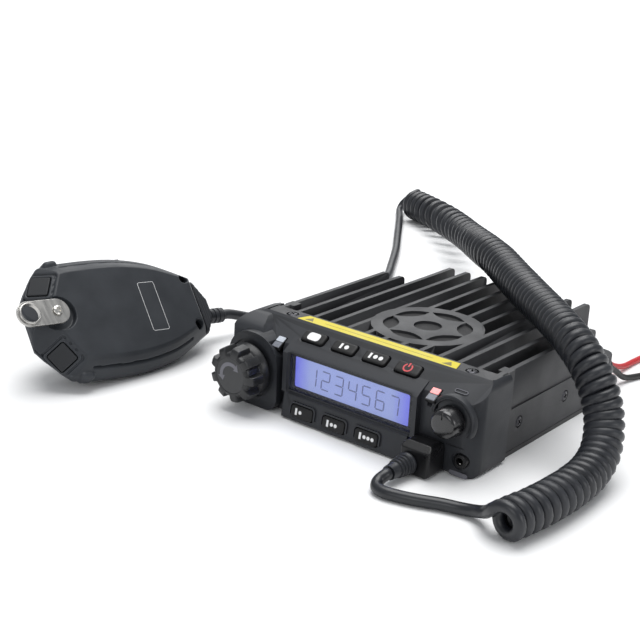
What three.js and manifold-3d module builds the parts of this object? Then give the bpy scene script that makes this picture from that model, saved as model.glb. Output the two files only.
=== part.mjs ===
// Mobile transceiver with a hand microphone on a coiled cord.
// Millimetres, +Z up, +X to the right seen from the front, +Y to the rear.
// Inside the model y is counted from the bezel's front; the whole is then moved so that
// the origin is the middle of the radio's flat bottom.
import * as THREE from 'three';
import { mergeVertices } from 'three/addons/utils/BufferGeometryUtils.js';
import Module from 'manifold-3d';

const wasm = await Module();
wasm.setup();

// ---------- driving dimensions ----------
const GAP = 0.3;
const BODY_HALF = 70.5;       // heat-sink chassis, half width
const BODY_REAR = 150;
const TOP = 46.5;             // fin tops and front strip
const DECK = 25.5;            // floor between the fins
const SEAM = 2.6;             // top of the bottom cover
const WALL = 3;
const STRIP_FRONT = 15.8;
const STRIP_REAR = 26;
const CHEEK_REAR = 30.5;      // how far back the bezel's side cheeks reach
const FIN_COUNT = 13;
const FIN_PITCH = 11.4;
const FIN_THICKNESS = 2.6;
const LONG_FIN_REAR = 158;
const SHORT_FIN_REAR = 121.5;
const BOSS = { x: 4.3, y: 58.5, radius: 30, slotRing: 19.5 };
const BEZEL_HALF = 73.5;
const BEZEL_LEFT = -78.5;      // the end cap beside the main knob stands out further
const BEZEL_TOP = 47.6;
const BEZEL_FLOOR = 0.4;
const DISPLAY = { x0: -36.5, x1: 36.5, z0: 16.4, z1: 34.8 };
const BROW_HALF = 44;         // the display block that stands proud
const UPPER_KEY_X = [-31, -11.3, 8.4, 28.1];
const LOWER_KEY_X = [-26.3, -5.6, 15.1];
const MAIN_KNOB = { x: -62.4, z: 21, radius: 15.2, face: -21, back: -6 };
const KNOB_LOBES = 9;
const VOLUME_KNOB = { x: 60.5, z: 28.5, radius: 7.9, face: -10, back: 1.2 };
const PLUG = { x: 49.5, half: 8, front: -13.6, back: -0.6, z0: 0.4, z1: 15.4 };
const CORD_RADIUS = 3;
const COIL_RADIUS = 10;
const WIRE_RADIUS = 1.75;
const MIC_PLACE = { x: -142, y: 2.5, z: 34.4, tilt: 48, pitch: 5, yaw: 81 };
const TALK_TRAVEL_ROOM = 1.9;
const ORIGIN_FROM_FRONT = 85;

const rad = THREE.MathUtils.degToRad;
const v3 = (x, y, z) => new THREE.Vector3(x, y, z);

// ---------- materials ----------
function finish(color, roughness, metalness) {
  return () => new THREE.MeshStandardMaterial({ color, roughness, metalness });
}
const matte = finish(0x2a2b2d, 0.6, 0.0);
const castPaint = finish(0x2c2c2e, 0.7, 0.3);
const keyRubber = finish(0x1c1c1e, 0.75, 0.0);
const cordRubber = finish(0x1d1f24, 0.55, 0.0);
const steel = finish(0xb9b7b0, 0.3, 1.0);
const darkSteel = finish(0x3a3a3c, 0.4, 0.9);
const nickel = finish(0xc9c6be, 0.25, 1.0);
const board = finish(0x1f5a3a, 0.6, 0.0);
const clear = finish(0x8f9cf0, 0.1, 0.0);
const yellow = finish(0xe8d62a, 0.5, 0.0);
const redWire = finish(0xc8232b, 0.5, 0.0);
const speakerPaper = finish(0x141414, 0.8, 0.0);

// ---------- solids ----------
function solid(geometry) {
  const bare = geometry.clone();
  for (const name of ['normal', 'uv']) {
    bare.deleteAttribute(name);
  }
  const merged = mergeVertices(bare, 1e-4);
  return new wasm.Manifold(new wasm.Mesh({
    numProp: 3,
    vertProperties: new Float32Array(merged.attributes.position.array),
    triVerts: new Uint32Array(merged.index.array),
  }));
}

function geometryOf(manifold) {
  const mesh = manifold.getMesh();
  const geometry = new THREE.BufferGeometry();
  geometry.setAttribute('position', new THREE.BufferAttribute(new Float32Array(mesh.vertProperties), 3));
  geometry.setIndex(new THREE.BufferAttribute(new Uint32Array(mesh.triVerts), 1));
  return geometry;
}

function union(solids) {
  return solids.reduce((all, next) => all.add(next));
}

function cut(body, solids) {
  return solids.reduce((left, tool) => left.subtract(tool), body);
}

// ---------- shapes ----------
function box(x0, x1, y0, y1, z0, z1) {
  const geometry = new THREE.BoxGeometry(x1 - x0, y1 - y0, z1 - z0);
  return geometry.translate((x0 + x1) / 2, (y0 + y1) / 2, (z0 + z1) / 2);
}

function outline(points) {
  return new THREE.Shape(points.map(([a, b]) => new THREE.Vector2(a, b)));
}

function roundRect(x0, x1, y0, y1, radii) {
  const [a, b, c, d] = radii;   // lower left, lower right, upper right, upper left
  const shape = new THREE.Shape();
  shape.moveTo(x0 + a, y0);
  shape.lineTo(x1 - b, y0);
  if (b > 0) shape.absarc(x1 - b, y0 + b, b, -Math.PI / 2, 0, false);
  shape.lineTo(x1, y1 - c);
  if (c > 0) shape.absarc(x1 - c, y1 - c, c, 0, Math.PI / 2, false);
  shape.lineTo(x0 + d, y1);
  if (d > 0) shape.absarc(x0 + d, y1 - d, d, Math.PI / 2, Math.PI, false);
  shape.lineTo(x0, y0 + a);
  if (a > 0) shape.absarc(x0 + a, y0 + a, a, Math.PI, Math.PI * 1.5, false);
  return shape;
}

// The shape's plane is XY and it rises from z0 to z1.
function prismZ(shape, z0, z1, segments = 2) {
  const geometry = new THREE.ExtrudeGeometry(shape, { depth: z1 - z0, bevelEnabled: false, curveSegments: segments });
  return geometry.translate(0, 0, z0);
}

// The shape's plane is YZ (first number y, second z) and it runs from x0 to x1.
function prismX(shape, x0, x1, segments = 2) {
  const geometry = new THREE.ExtrudeGeometry(shape, { depth: x1 - x0, bevelEnabled: false, curveSegments: segments });
  geometry.applyMatrix4(new THREE.Matrix4().makeBasis(v3(0, 1, 0), v3(0, 0, 1), v3(1, 0, 0)));
  return geometry.translate(x0, 0, 0);
}

// The shape's plane is XZ (first number x, second z) and it runs from y0 to y1.
function prismY(shape, y0, y1, segments = 2) {
  const geometry = new THREE.ExtrudeGeometry(shape, { depth: y1 - y0, bevelEnabled: false, curveSegments: segments });
  geometry.applyMatrix4(new THREE.Matrix4().makeBasis(v3(1, 0, 0), v3(0, 0, 1), v3(0, -1, 0)));
  return geometry.translate(0, y1, 0);
}

function cylinderZ(x, y, z0, z1, radius, sides = 18) {
  const geometry = new THREE.CylinderGeometry(radius, radius, z1 - z0, sides);
  return geometry.rotateX(Math.PI / 2).translate(x, y, (z0 + z1) / 2);
}

function cylinderY(x, z, y0, y1, radius, sides = 18) {
  return new THREE.CylinderGeometry(radius, radius, y1 - y0, sides).translate(x, (y0 + y1) / 2, z);
}

function cylinderX(y, z, x0, x1, radius, sides = 14) {
  const geometry = new THREE.CylinderGeometry(radius, radius, x1 - x0, sides);
  return geometry.rotateZ(Math.PI / 2).translate((x0 + x1) / 2, y, z);
}

// A turned profile [radius, height] about the Z axis, or about Y with the height forward (-Y).
function turnedZ(profile, sides = 18) {
  const points = profile.map(([r, h]) => new THREE.Vector2(r, h));
  if (THREE.ShapeUtils.area(points) < 0) {
    points.reverse();
  }
  return new THREE.LatheGeometry(points, sides).rotateX(Math.PI / 2);
}

function turnedForward(profile, sides = 18) {
  return turnedZ(profile, sides).rotateX(Math.PI / 2);
}

// A stretch of a longer curve, between two shares of its length.
class Stretch extends THREE.Curve {
  constructor(curve, from, to) {
    super();
    this.curve = curve;
    this.from = from;
    this.to = to;
  }

  getPoint(share) {
    return this.curve.getPointAt(this.from + (this.to - this.from) * share);
  }
}

function smooth(points) {
  return new THREE.CatmullRomCurve3(points.map(([x, y, z]) => v3(x, y, z)));
}

function tube(path, radius, steps, sides = 10) {
  const section = new THREE.Shape();
  section.absarc(0, 0, radius, 0, Math.PI * 2, false);
  return new THREE.ExtrudeGeometry(section, {
    steps, bevelEnabled: false, extrudePath: path, curveSegments: sides / 2,
  });
}

// ---------- the object ----------
const radio = new THREE.Group();
const microphone = new THREE.Group();
const cords = new THREE.Group();

function put(group, name, geometry, material) {
  const mesh = new THREE.Mesh(geometry, material());
  mesh.name = name;
  group.add(mesh);
  return mesh;
}

// ---------- heat sink ----------
function finProfile(rear) {
  const shape = new THREE.Shape();
  shape.moveTo(STRIP_REAR - 1, DECK - 1.5);
  shape.lineTo(Math.min(rear, BODY_REAR) - 1, DECK - 1.5);
  shape.lineTo(rear, DECK + 2);
  shape.lineTo(rear, TOP - 3);
  shape.absarc(rear - 3, TOP - 3, 3, 0, Math.PI / 2, false);
  shape.lineTo(STRIP_REAR - 1, TOP);
  return shape;
}

function fins() {
  const list = [];
  const middle = (FIN_COUNT - 1) / 2;
  for (let i = 0; i < FIN_COUNT; i += 1) {
    const x = (i - middle) * FIN_PITCH;
    const rear = Math.abs(i - middle) > 4 ? SHORT_FIN_REAR : LONG_FIN_REAR;
    list.push(solid(prismX(finProfile(rear), x - FIN_THICKNESS / 2, x + FIN_THICKNESS / 2, 4)));
  }
  return list;
}

function leafSlot(index) {
  const angle = index * Math.PI / 3 + Math.PI / 6;
  const halfLength = 10.5;
  const bulge = 4.4;
  const shape = new THREE.Shape();
  shape.moveTo(-halfLength, 0);
  shape.quadraticCurveTo(0, -bulge * 2, halfLength, 0);
  shape.quadraticCurveTo(0, bulge * 2, -halfLength, 0);
  const slot = prismZ(shape, TOP - 4, TOP + 1, 5);
  slot.rotateZ(angle + Math.PI / 2);
  return slot.translate(
    BOSS.x + BOSS.slotRing * Math.cos(angle), BOSS.y + BOSS.slotRing * Math.sin(angle), 0);
}

function speakerBoss() {
  const tools = [solid(cylinderZ(BOSS.x, BOSS.y, DECK - 6, TOP - 2.6, BOSS.radius - 2.6, 28))];
  tools.push(solid(cylinderZ(BOSS.x, BOSS.y, TOP - 4, TOP + 1, 7.5, 24)));
  for (let i = 0; i < 6; i += 1) {
    tools.push(solid(leafSlot(i)));
  }
  return tools;
}

function sideScrewPlaces() {
  return [
    { name: 'side_screw_right_front', side: 1, y: 46 },
    { name: 'side_screw_right_rear', side: 1, y: 92.5 },
    { name: 'side_screw_left_front', side: -1, y: 46 },
    { name: 'side_screw_left_rear', side: -1, y: 92.5 },
  ];
}

function heatSink() {
  const rearRound = 8;
  const trayOutline = roundRect(-BODY_HALF, BODY_HALF, CHEEK_REAR + GAP, BODY_REAR, [0, 0, rearRound, rearRound]);
  const inner = BODY_HALF - WALL;
  const boreOutline = roundRect(-inner, inner, STRIP_REAR, BODY_REAR - WALL, [0, 0, 5, 5]);
  const flangeHalf = BEZEL_HALF - 2.3 - GAP;
  let body = union([
    solid(prismZ(trayOutline, SEAM + GAP, DECK)),
    solid(prismZ(roundRect(-flangeHalf, flangeHalf, STRIP_FRONT, STRIP_REAR, [4, 4, 0, 0]), TOP - 8, TOP)),
    solid(box(-flangeHalf, flangeHalf, STRIP_FRONT + 4, CHEEK_REAR + 1, SEAM + GAP, TOP - 7)),
    solid(box(BODY_HALF - 6, BODY_HALF, CHEEK_REAR + GAP, CHEEK_REAR + 6.5, DECK - 1, TOP)),
    solid(box(-BODY_HALF, -BODY_HALF + 6, CHEEK_REAR + GAP, CHEEK_REAR + 6.5, DECK - 1, TOP)),
    solid(cylinderZ(BOSS.x, BOSS.y, DECK - 1, TOP, BOSS.radius, 32)),
    ...fins(),
  ]);
  const screwPilots = [-56.5, 56.5].map((x) => solid(cylinderZ(x, 20.5, TOP - 1.6, TOP + 1, 3.4, 20)));
  const sideDrills = sideScrewPlaces().map((p) => {
    const outer = p.side * (BODY_HALF + 1);
    const depth = p.side * (BODY_HALF - 1.5);
    return solid(cylinderX(p.y, 16.5, Math.min(outer, depth), Math.max(outer, depth), 3.3, 16));
  });
  body = cut(body, [
    solid(prismZ(boreOutline, SEAM - 1, DECK - WALL)),
    solid(box(-62, 62, STRIP_FRONT - 1, STRIP_REAR + 8, 5.5, DECK - WALL)),
    ...speakerBoss(),
    ...screwPilots,
    ...sideDrills,
    solid(cylinderY(-30, 14, BODY_REAR - 6, BODY_REAR + 2, 6.2, 24)),
    solid(cylinderY(0, 14, BODY_REAR - 6, BODY_REAR + 2, 3.3, 16)),
    solid(prismY(roundRect(52.2, 66.8, 8.7, 20.3, [5, 5, 5, 5]), BODY_REAR - 6, BODY_REAR + 2)),
  ]);
  put(radio, 'heat_sink', geometryOf(body), castPaint);
}

// ---------- bottom cover and screws ----------
function bottomScrewPlaces() {
  return [[-62, 40], [62, 40], [-62, 136], [62, 136]];
}

function bottomCover() {
  const plan = roundRect(-BODY_HALF, BODY_HALF, CHEEK_REAR + GAP, BODY_REAR, [0, 0, 8, 8]);
  const lip = roundRect(-BODY_HALF + WALL + GAP, BODY_HALF - WALL - GAP, 36, BODY_REAR - WALL - GAP, [3, 3, 4.5, 4.5]);
  const lipInner = roundRect(-BODY_HALF + WALL + 2, BODY_HALF - WALL - 2, 38, BODY_REAR - WALL - 2, [3, 3, 3, 3]);
  let plate = solid(prismZ(plan, 0, SEAM)).add(solid(prismZ(lip, SEAM - 0.5, SEAM + 3)));
  plate = plate.subtract(solid(prismZ(lipInner, SEAM, SEAM + 4)));
  const dimples = bottomScrewPlaces().map(([x, y]) => solid(cylinderZ(x, y, -1, 1.6, 3.4, 18)));
  put(radio, 'bottom_cover', geometryOf(cut(plate, dimples)), castPaint);
  bottomScrewPlaces().forEach(([x, y], i) => {
    const head = turnedZ([[0, 0], [2.6, 0], [3, -0.5], [3, -1.1], [0, -1.1]], 18);
    head.rotateX(Math.PI).translate(x, y, 0.2);
    put(radio, `bottom_screw_${i + 1}`, head, darkSteel);
  });
}

// A domed cross-recess screw head, its top facing +Z.
function screwHead(radius, height) {
  const dome = solid(turnedZ([[0, 0], [radius, 0], [radius, height * 0.45], [radius * 0.75, height * 0.85],
    [radius * 0.35, height], [0, height]], 12));
  const arm = radius * 0.55;
  const slotHalf = radius * 0.13;
  const floor = height * 0.45;
  return geometryOf(cut(dome, [
    solid(box(-arm, arm, -slotHalf, slotHalf, floor, height + 1)),
    solid(box(-slotHalf, slotHalf, -arm, arm, floor, height + 1)),
  ]));
}

function chassisScrews() {
  [['top_screw_left', -56.5], ['top_screw_right', 56.5]].forEach(([name, x]) => {
    put(radio, name, screwHead(3, 1.7).translate(x, 20.5, TOP - 1.6 + GAP), darkSteel);
  });
  sideScrewPlaces().forEach((p) => {
    const head = screwHead(2.9, 1.5);
    head.rotateY(p.side * Math.PI / 2);
    head.translate(p.side * (BODY_HALF - 1.5 + GAP), p.y, 16.5);
    put(radio, p.name, head, darkSteel);
  });
}

// ---------- bezel ----------
const UPPER_SLOPE = { y0: -1, z0: 37, y1: STRIP_FRONT - GAP, z1: BEZEL_TOP - 0.6 };
const SLOPE_ANGLE = Math.atan2(UPPER_SLOPE.z1 - UPPER_SLOPE.z0, UPPER_SLOPE.y1 - UPPER_SLOPE.y0);
const LOWER_FACE = { y0: -5.6, z0: BEZEL_FLOOR + 0.6, y1: -3.4, z1: 13.6 };
const LOWER_TILT = Math.atan2(LOWER_FACE.y1 - LOWER_FACE.y0, LOWER_FACE.z1 - LOWER_FACE.z0);

// Puts a piece made face-up at the origin onto the upper slope, at x and at a share of its length.
function ontoUpperSlope(geometry, x, share) {
  const y = UPPER_SLOPE.y0 + (UPPER_SLOPE.y1 - UPPER_SLOPE.y0) * share;
  const z = UPPER_SLOPE.z0 + (UPPER_SLOPE.z1 - UPPER_SLOPE.z0) * share;
  return geometry.rotateX(SLOPE_ANGLE).translate(x, y, z);
}

// Puts a piece made face-up at the origin onto the lower key face.
function ontoLowerFace(geometry, x, share) {
  const y = LOWER_FACE.y0 + (LOWER_FACE.y1 - LOWER_FACE.y0) * share;
  const z = LOWER_FACE.z0 + (LOWER_FACE.z1 - LOWER_FACE.z0) * share;
  return geometry.rotateX(Math.PI / 2 - LOWER_TILT).translate(x, y, z);
}

function upperKeyPlug(x, grow, z0, z1) {
  const shape = roundRect(-7 - grow, 7 + grow, -3.3 - grow, 3.3 + grow, [1.6, 1.6, 1.6, 1.6]);
  return ontoUpperSlope(prismZ(shape, z0, z1, 3), x, 0.56);
}

function lowerKeyPlug(x, grow, z0, z1) {
  const shape = roundRect(-7 - grow, 7 + grow, -3.2 - grow, 3.2 + grow, [1.6, 1.6, 1.6, 1.6]);
  return ontoLowerFace(prismZ(shape, z0, z1, 3), x, 0.42);
}

function bezelOuter() {
  const side = outline([[2.2, BEZEL_FLOOR], [0.6, 2], [0.6, 35], [UPPER_SLOPE.y0 + 3, 38.2],
    [UPPER_SLOPE.y1, UPPER_SLOPE.z1], [17, BEZEL_TOP], [CHEEK_REAR, BEZEL_TOP - 1.2], [CHEEK_REAR, BEZEL_FLOOR]]);
  const plan = roundRect(-BEZEL_HALF, BEZEL_HALF, 0.5, CHEEK_REAR, [9, 9, 0, 0]);
  const front = roundRect(-BEZEL_HALF, BEZEL_HALF, BEZEL_FLOOR, BEZEL_TOP + 0.1, [2.5, 2.5, 5, 5]);
  const shell = solid(prismX(side, -BEZEL_HALF, BEZEL_HALF))
    .intersect(solid(prismZ(plan, 0, 60, 8)))
    .intersect(solid(prismY(front, -1, CHEEK_REAR + 1, 6)));
  const browSide = outline([[-3.4, 14], [-3.4, 35.4], [-1, 37.2], [6, 41.4], [6, 14]]);
  const lowerSide = outline([[-4.4, BEZEL_FLOOR], [LOWER_FACE.y0, LOWER_FACE.z0], [LOWER_FACE.y1, LOWER_FACE.z1],
    [-3.4, 15], [6, 15], [6, BEZEL_FLOOR]]);
  const capSide = outline([[-3.2, BEZEL_FLOOR], [-4.8, 4], [-4.8, 29], [-4, 35.5], [-2, 39.6], [1.5, 43.2],
    [10, 45.8], [20, 46.6], [CHEEK_REAR, 46.2], [CHEEK_REAR, BEZEL_FLOOR]]);
  const capPlan = outline([[BEZEL_LEFT + 3.5, -5], [-50, -5], [-50, CHEEK_REAR], [-74, CHEEK_REAR],
    [BEZEL_LEFT + 0.4, 18], [BEZEL_LEFT, 8], [BEZEL_LEFT, -1]]);
  const endCap = solid(prismX(capSide, BEZEL_LEFT, -54))
    .intersect(solid(prismY(roundRect(BEZEL_LEFT, -54, BEZEL_FLOOR, 47, [9, 4, 17, 6]), -6, CHEEK_REAR, 4)))
    .intersect(solid(prismZ(capPlan, 0, 60)));
  const podFront = roundRect(BEZEL_LEFT, MAIN_KNOB.x + 18, BEZEL_FLOOR, 41, [10, 8, 16, 15]);
  return union([
    shell,
    endCap,
    solid(prismX(browSide, -BROW_HALF + 2, BROW_HALF - 2)),
    solid(prismX(lowerSide, -40, 38)),
    solid(prismY(podFront, -4.8, 12, 5)),
  ]);
}

function bezelInner() {
  const side = outline([[3, 3], [3, 34], [5, 36], [STRIP_FRONT, 42.6], [STRIP_FRONT, 60], [40, 60], [40, -1],
    [STRIP_FRONT, -1], [STRIP_FRONT, 3]]);
  const half = BEZEL_HALF - 2.3;
  return solid(prismX(side, -half, half)).intersect(
    solid(prismZ(roundRect(-half, half, 2, 41, [7, 7, 0, 0]), -2, 61, 6)));
}

function frontBezel() {
  const displayHole = box(DISPLAY.x0 - 1.8, DISPLAY.x1 + 1.8, -10, 8, DISPLAY.z0 - 1.2, DISPLAY.z1 + 0.2);
  const tools = [bezelInner(), solid(displayHole)];
  UPPER_KEY_X.forEach((x) => tools.push(solid(upperKeyPlug(x, 0.35, -8, 3))));
  LOWER_KEY_X.forEach((x) => tools.push(solid(lowerKeyPlug(x, 0.35, -14, 3))));
  tools.push(solid(cylinderY(MAIN_KNOB.x, MAIN_KNOB.z, -10, 8, 4.2, 24)));
  tools.push(solid(cylinderY(MAIN_KNOB.x, MAIN_KNOB.z, -10, -3.4, MAIN_KNOB.radius + 0.6, 36)));
  tools.push(solid(cylinderY(VOLUME_KNOB.x, VOLUME_KNOB.z, -8, 8, 3.8, 24)));
  tools.push(solid(cylinderY(66.5, 9, -2, 8, 3.9, 24)));
  tools.push(solid(box(PLUG.x - 6.3, PLUG.x + 6.3, -2, 8, 2.9, 13)));
  [-48.5, 48.5].forEach((x) => {
    tools.push(solid(ontoUpperSlope(box(-3, 3, -4.2, 4.2, -6, 3), x, 0.1)));
  });
  put(radio, 'front_bezel', geometryOf(cut(bezelOuter(), tools)), matte);
}

function displayPieces() {
  const lens = prismY(roundRect(DISPLAY.x0 - 1.5, DISPLAY.x1 + 1.5, DISPLAY.z0 - 0.9, DISPLAY.z1 - 0.1,
    [1.2, 1.2, 1.2, 1.2]), -2.4, -0.6, 3);
  put(radio, 'display_lens', lens, clear);
  put(radio, 'display_module', box(DISPLAY.x0 - 1.4, DISPLAY.x1 + 1.4, -0.2, 5.4, DISPLAY.z0 - 0.8, DISPLAY.z1 - 0.2), clear);
  const window = () => box(-2.7, 2.7, -3.9, 3.9, -2.2, 0.2);
  put(radio, 'indicator_left', ontoUpperSlope(window(), -48.5, 0.1), clear);
  put(radio, 'indicator_right', ontoUpperSlope(window(), 48.5, 0.1), clear);
}

function keys() {
  const upperNames = ['key_function', 'key_upper_2', 'key_upper_3', 'key_power'];
  UPPER_KEY_X.forEach((x, i) => {
    put(radio, upperNames[i], upperKeyPlug(x, 0, -2.4, 1.3), keyRubber);
  });
  LOWER_KEY_X.forEach((x, i) => {
    put(radio, `key_lower_${i + 1}`, lowerKeyPlug(x, 0, -4.2, 1.3), keyRubber);
  });
}

// ---------- knobs ----------
function mainKnob() {
  const r = MAIN_KNOB.radius;
  const depth = MAIN_KNOB.back - MAIN_KNOB.face;
  const skirt = solid(turnedForward([[0, 0], [r - 1.2, 0], [r - 0.6, 0.8], [r - 1.4, 4.5], [r - 2.8, 6],
    [r - 3, depth - 1], [r - 4, depth], [0, depth]], 24));
  const lobes = [];
  for (let i = 0; i < KNOB_LOBES; i += 1) {
    const angle = i * 2 * Math.PI / KNOB_LOBES;
    const lobe = cylinderY(0, 0, -depth + 0.6, -4.2, 2.3, 10);
    lobes.push(solid(lobe.translate((r - 2.3) * Math.cos(angle), 0, (r - 2.3) * Math.sin(angle))));
  }
  const shaft = solid(cylinderY(0, 0, -1, 12.5, 3, 20));
  const knob = geometryOf(union([skirt, ...lobes, shaft]));
  put(radio, 'main_knob', knob.translate(MAIN_KNOB.x, MAIN_KNOB.back, MAIN_KNOB.z), matte);
  const body = solid(box(-6.2, 6.2, 4, 10.4, -6.2, 6.2)).subtract(solid(cylinderY(0, 0, 0, 12, 3.3, 20)));
  put(radio, 'main_encoder', geometryOf(body).translate(MAIN_KNOB.x, 0, MAIN_KNOB.z), darkSteel);
}

function volumeKnob() {
  const r = VOLUME_KNOB.radius;
  const depth = VOLUME_KNOB.back - VOLUME_KNOB.face;
  const cap = solid(turnedForward([[0, 1], [r, 1], [r, 2.4], [r - 0.7, depth - 1], [r - 1.7, depth], [0, depth]], 32));
  const shaft = solid(cylinderY(0, 0, -2, 8.5, 2.8, 18));
  put(radio, 'volume_knob', geometryOf(cap.add(shaft)).translate(VOLUME_KNOB.x, VOLUME_KNOB.back - 0.8, VOLUME_KNOB.z), matte);
  const body = solid(box(-5.2, 5.2, 4.2, 10.4, -5.2, 5.2)).subtract(solid(cylinderY(0, 0, 0, 12, 3.1, 18)));
  put(radio, 'volume_control', geometryOf(body).translate(VOLUME_KNOB.x, 0, VOLUME_KNOB.z), darkSteel);
}

// ---------- sockets and inner parts ----------
function sockets() {
  const micSocket = solid(box(PLUG.x - 6, PLUG.x + 6, -0.1, 10.4, 3.2, 12.7))
    .subtract(solid(box(PLUG.x - 4.8, PLUG.x + 4.8, -1, 7.5, 4.6, 11.4)));
  put(radio, 'microphone_socket', geometryOf(micSocket), matte);
  const jack = solid(turnedForward([[0, -8], [3.6, -8], [3.6, 0.2], [2.6, 0.7], [1.9, 0.7], [1.9, -6.5], [0, -6.5]], 24));
  put(radio, 'data_jack', geometryOf(jack).translate(66.5, 0.5, 9), darkSteel);
  const antenna = solid(turnedForward([[0, 5], [5.9, 5], [5.9, -1.6], [7.9, -1.6], [7.9, -4], [5.7, -4.4], [5.7, -13.5],
    [2, -13.5], [2, -6], [0, -6]], 18));
  put(radio, 'antenna_socket', geometryOf(antenna).translate(-30, BODY_REAR - 1.2, 14), nickel);
  const speakerJack = solid(turnedForward([[0, 5], [3, 5], [3, -1.6], [4.6, -1.6], [4.6, -3], [1.8, -3], [1.8, 3], [0, 3]], 14));
  put(radio, 'speaker_jack', geometryOf(speakerJack).translate(0, BODY_REAR - 1.2, 14), matte);
}

function powerGrommet() {
  const plug = prismY(roundRect(52.5, 66.5, 9, 20, [4.8, 4.8, 4.8, 4.8]), BODY_REAR - 4, BODY_REAR + 2);
  const flange = prismY(roundRect(50.8, 68.2, 7.3, 21.7, [6, 6, 6, 6]), BODY_REAR + GAP, BODY_REAR + 2);
  const grommet = solid(plug).add(solid(flange));
  const holes = [55.8, 63.2].map((x) => solid(cylinderY(x, 14.5, BODY_REAR - 6, BODY_REAR + 4, WIRE_RADIUS + GAP, 14)));
  put(radio, 'power_grommet', geometryOf(cut(grommet, holes)), cordRubber);
}

function innerParts() {
  const frontBoard = solid(box(-52, 52, 11, 12.6, 4.5, 36));
  put(radio, 'front_board', geometryOf(frontBoard), board);
  const mainBoard = solid(box(-64, 64, 40, 143, 8, 9.6));
  put(radio, 'main_board', geometryOf(mainBoard), board);
  const cone = solid(turnedZ([[0, 0], [11, 0], [11, 7], [25.5, 12], [25.5, 14.5], [22, 14.5], [8, 9.5], [0, 9.5]], 32));
  put(radio, 'loudspeaker', geometryOf(cone).translate(BOSS.x, BOSS.y, TOP - 2.6 - 14.8), speakerPaper);
  const label = prismZ(outline([[-47, 15.6 + 0.6], [-44.5, 24], [44.5, 24], [47, 16.2]]), TOP + GAP * 0.2, TOP + 0.4);
  put(radio, 'label_strip', label, yellow);
}

// ---------- microphone ----------
// Its own frame: +X towards the cord, +Z out of the back, origin on the back.
const MIC_HALF_OUTLINE = [[-76, 14], [-72, 20], [-64.5, 29], [-60, 33.4], [-54, 34.8], [-44, 35], [-12, 35],
  [8, 30.8], [24, 23.8], [34, 18.4]];
const MIC_END = 35;
const CLIP = { screwX: -64, eyeX: -80.3, y: 1.8 };
const GLAND = { y: -4.5, z: -17, length: 21 };
const MIC_WIDEST = -12.6;
const MIC_FRONT = -32.4;

function micRing(scaleX, scaleY, z) {
  const centre = -20;
  const half = MIC_HALF_OUTLINE.map(([x, y]) => [centre + (x - centre) * scaleX, y * scaleY]);
  const mirrored = half.slice().reverse().map(([x, y]) => [x, -y]);
  return [...mirrored, ...half].map(([x, y]) => v3(x, y, z));
}

// A closed body through rings of equal point counts, first ring lowest.
function loft(rings) {
  const count = rings[0].length;
  const positions = [];
  rings.forEach((ring) => ring.forEach((p) => positions.push(p.x, p.y, p.z)));
  const index = [];
  for (let k = 0; k + 1 < rings.length; k += 1) {
    for (let i = 0; i < count; i += 1) {
      const a = k * count + i;
      const b = k * count + (i + 1) % count;
      index.push(a, a + count, b, b, a + count, b + count);
    }
  }
  const last = (rings.length - 1) * count;
  for (let i = 0; i < count / 2 - 1; i += 1) {
    const [a, b, c, d] = [i, i + 1, count - 2 - i, count - 1 - i];
    index.push(a, b, c, a, c, d);
    index.push(last + a, last + c, last + b, last + a, last + d, last + c);
  }
  const geometry = new THREE.BufferGeometry();
  geometry.setAttribute('position', new THREE.BufferAttribute(new Float32Array(positions), 3));
  geometry.setIndex(index);
  return geometry;
}

function micShells() {
  const back = solid(loft([micRing(1, 1, MIC_WIDEST + GAP), micRing(0.985, 0.97, -8), micRing(0.93, 0.84, -3),
    micRing(0.88, 0.72, 0)]));
  const front = solid(loft([micRing(0.78, 0.47, MIC_FRONT), micRing(0.9, 0.74, -22.6), micRing(1, 1, MIC_WIDEST)]));
  const hollowBack = solid(loft([micRing(0.93, 0.91, MIC_WIDEST - 1), micRing(0.86, 0.74, -4)]))
    .subtract(solid(ontoCorner(box(-30, 30, -30, 30, -5, 30), 1)))
    .subtract(solid(ontoCorner(box(-30, 30, -30, 30, -5, 30), -1)));
  const hollowFront = solid(loft([micRing(0.76, 0.42, MIC_FRONT + 3), micRing(0.93, 0.9, MIC_WIDEST + 1)]));
  const clipSeat = solid(cylinderZ(CLIP.screwX + 2, CLIP.y, -1.2, 4, 8.8, 28));
  const shellScrews = [-14.5, 14.5].map((y) => solid(cylinderZ(25, y, -6.2, 4, 2.8, 16)));
  const keyRooms = [1, -1].map((side) => solid(cornerPad(side, 0.35, -8, 3)));
  const clippedCorners = [1, -1].map((side) => solid(ontoCorner(box(-30, 30, -30, 30, 0, 30), side)));
  const barRoom = solid(talkBar(0.35, TALK_TRAVEL_ROOM));
  const backCuts = [...clippedCorners, hollowBack, clipSeat, ...shellScrews, ...keyRooms];
  put(microphone, 'mic_back_shell', geometryOf(cut(back, backCuts)), matte);
  put(microphone, 'mic_front_shell', geometryOf(cut(front, [hollowFront, barRoom])), matte);
}

// Puts a piece made face-up at the origin onto one of the two clipped corners of the clip end.
function ontoCorner(geometry, side) {
  geometry.rotateX(side * rad(-42.5)).rotateZ(side * rad(61));
  return geometry.translate(-64.2, side * 20.9, -6.9);
}

function cornerPad(side, grow, z0, z1) {
  const shape = roundRect(-5.8 - grow, 5.8 + grow, -5.8 - grow, 5.6 + grow, [1, 1, 1, 1]);
  return ontoCorner(prismZ(shape, z0, z1, 1), side);
}

// The talk bar, or with room to travel inwards the opening that it slides in.
function talkBar(grow, travel) {
  const inner = 24 - travel;
  const shape = outline([[inner, -21.6 - grow], [31.5 + grow, -21.6 - grow], [36.4 + grow, -17.6],
    [36.4 + grow, -13.3 + grow], [inner, -13.3 + grow]]);
  return prismX(shape, -46 - grow, -4 + grow);
}

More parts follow.
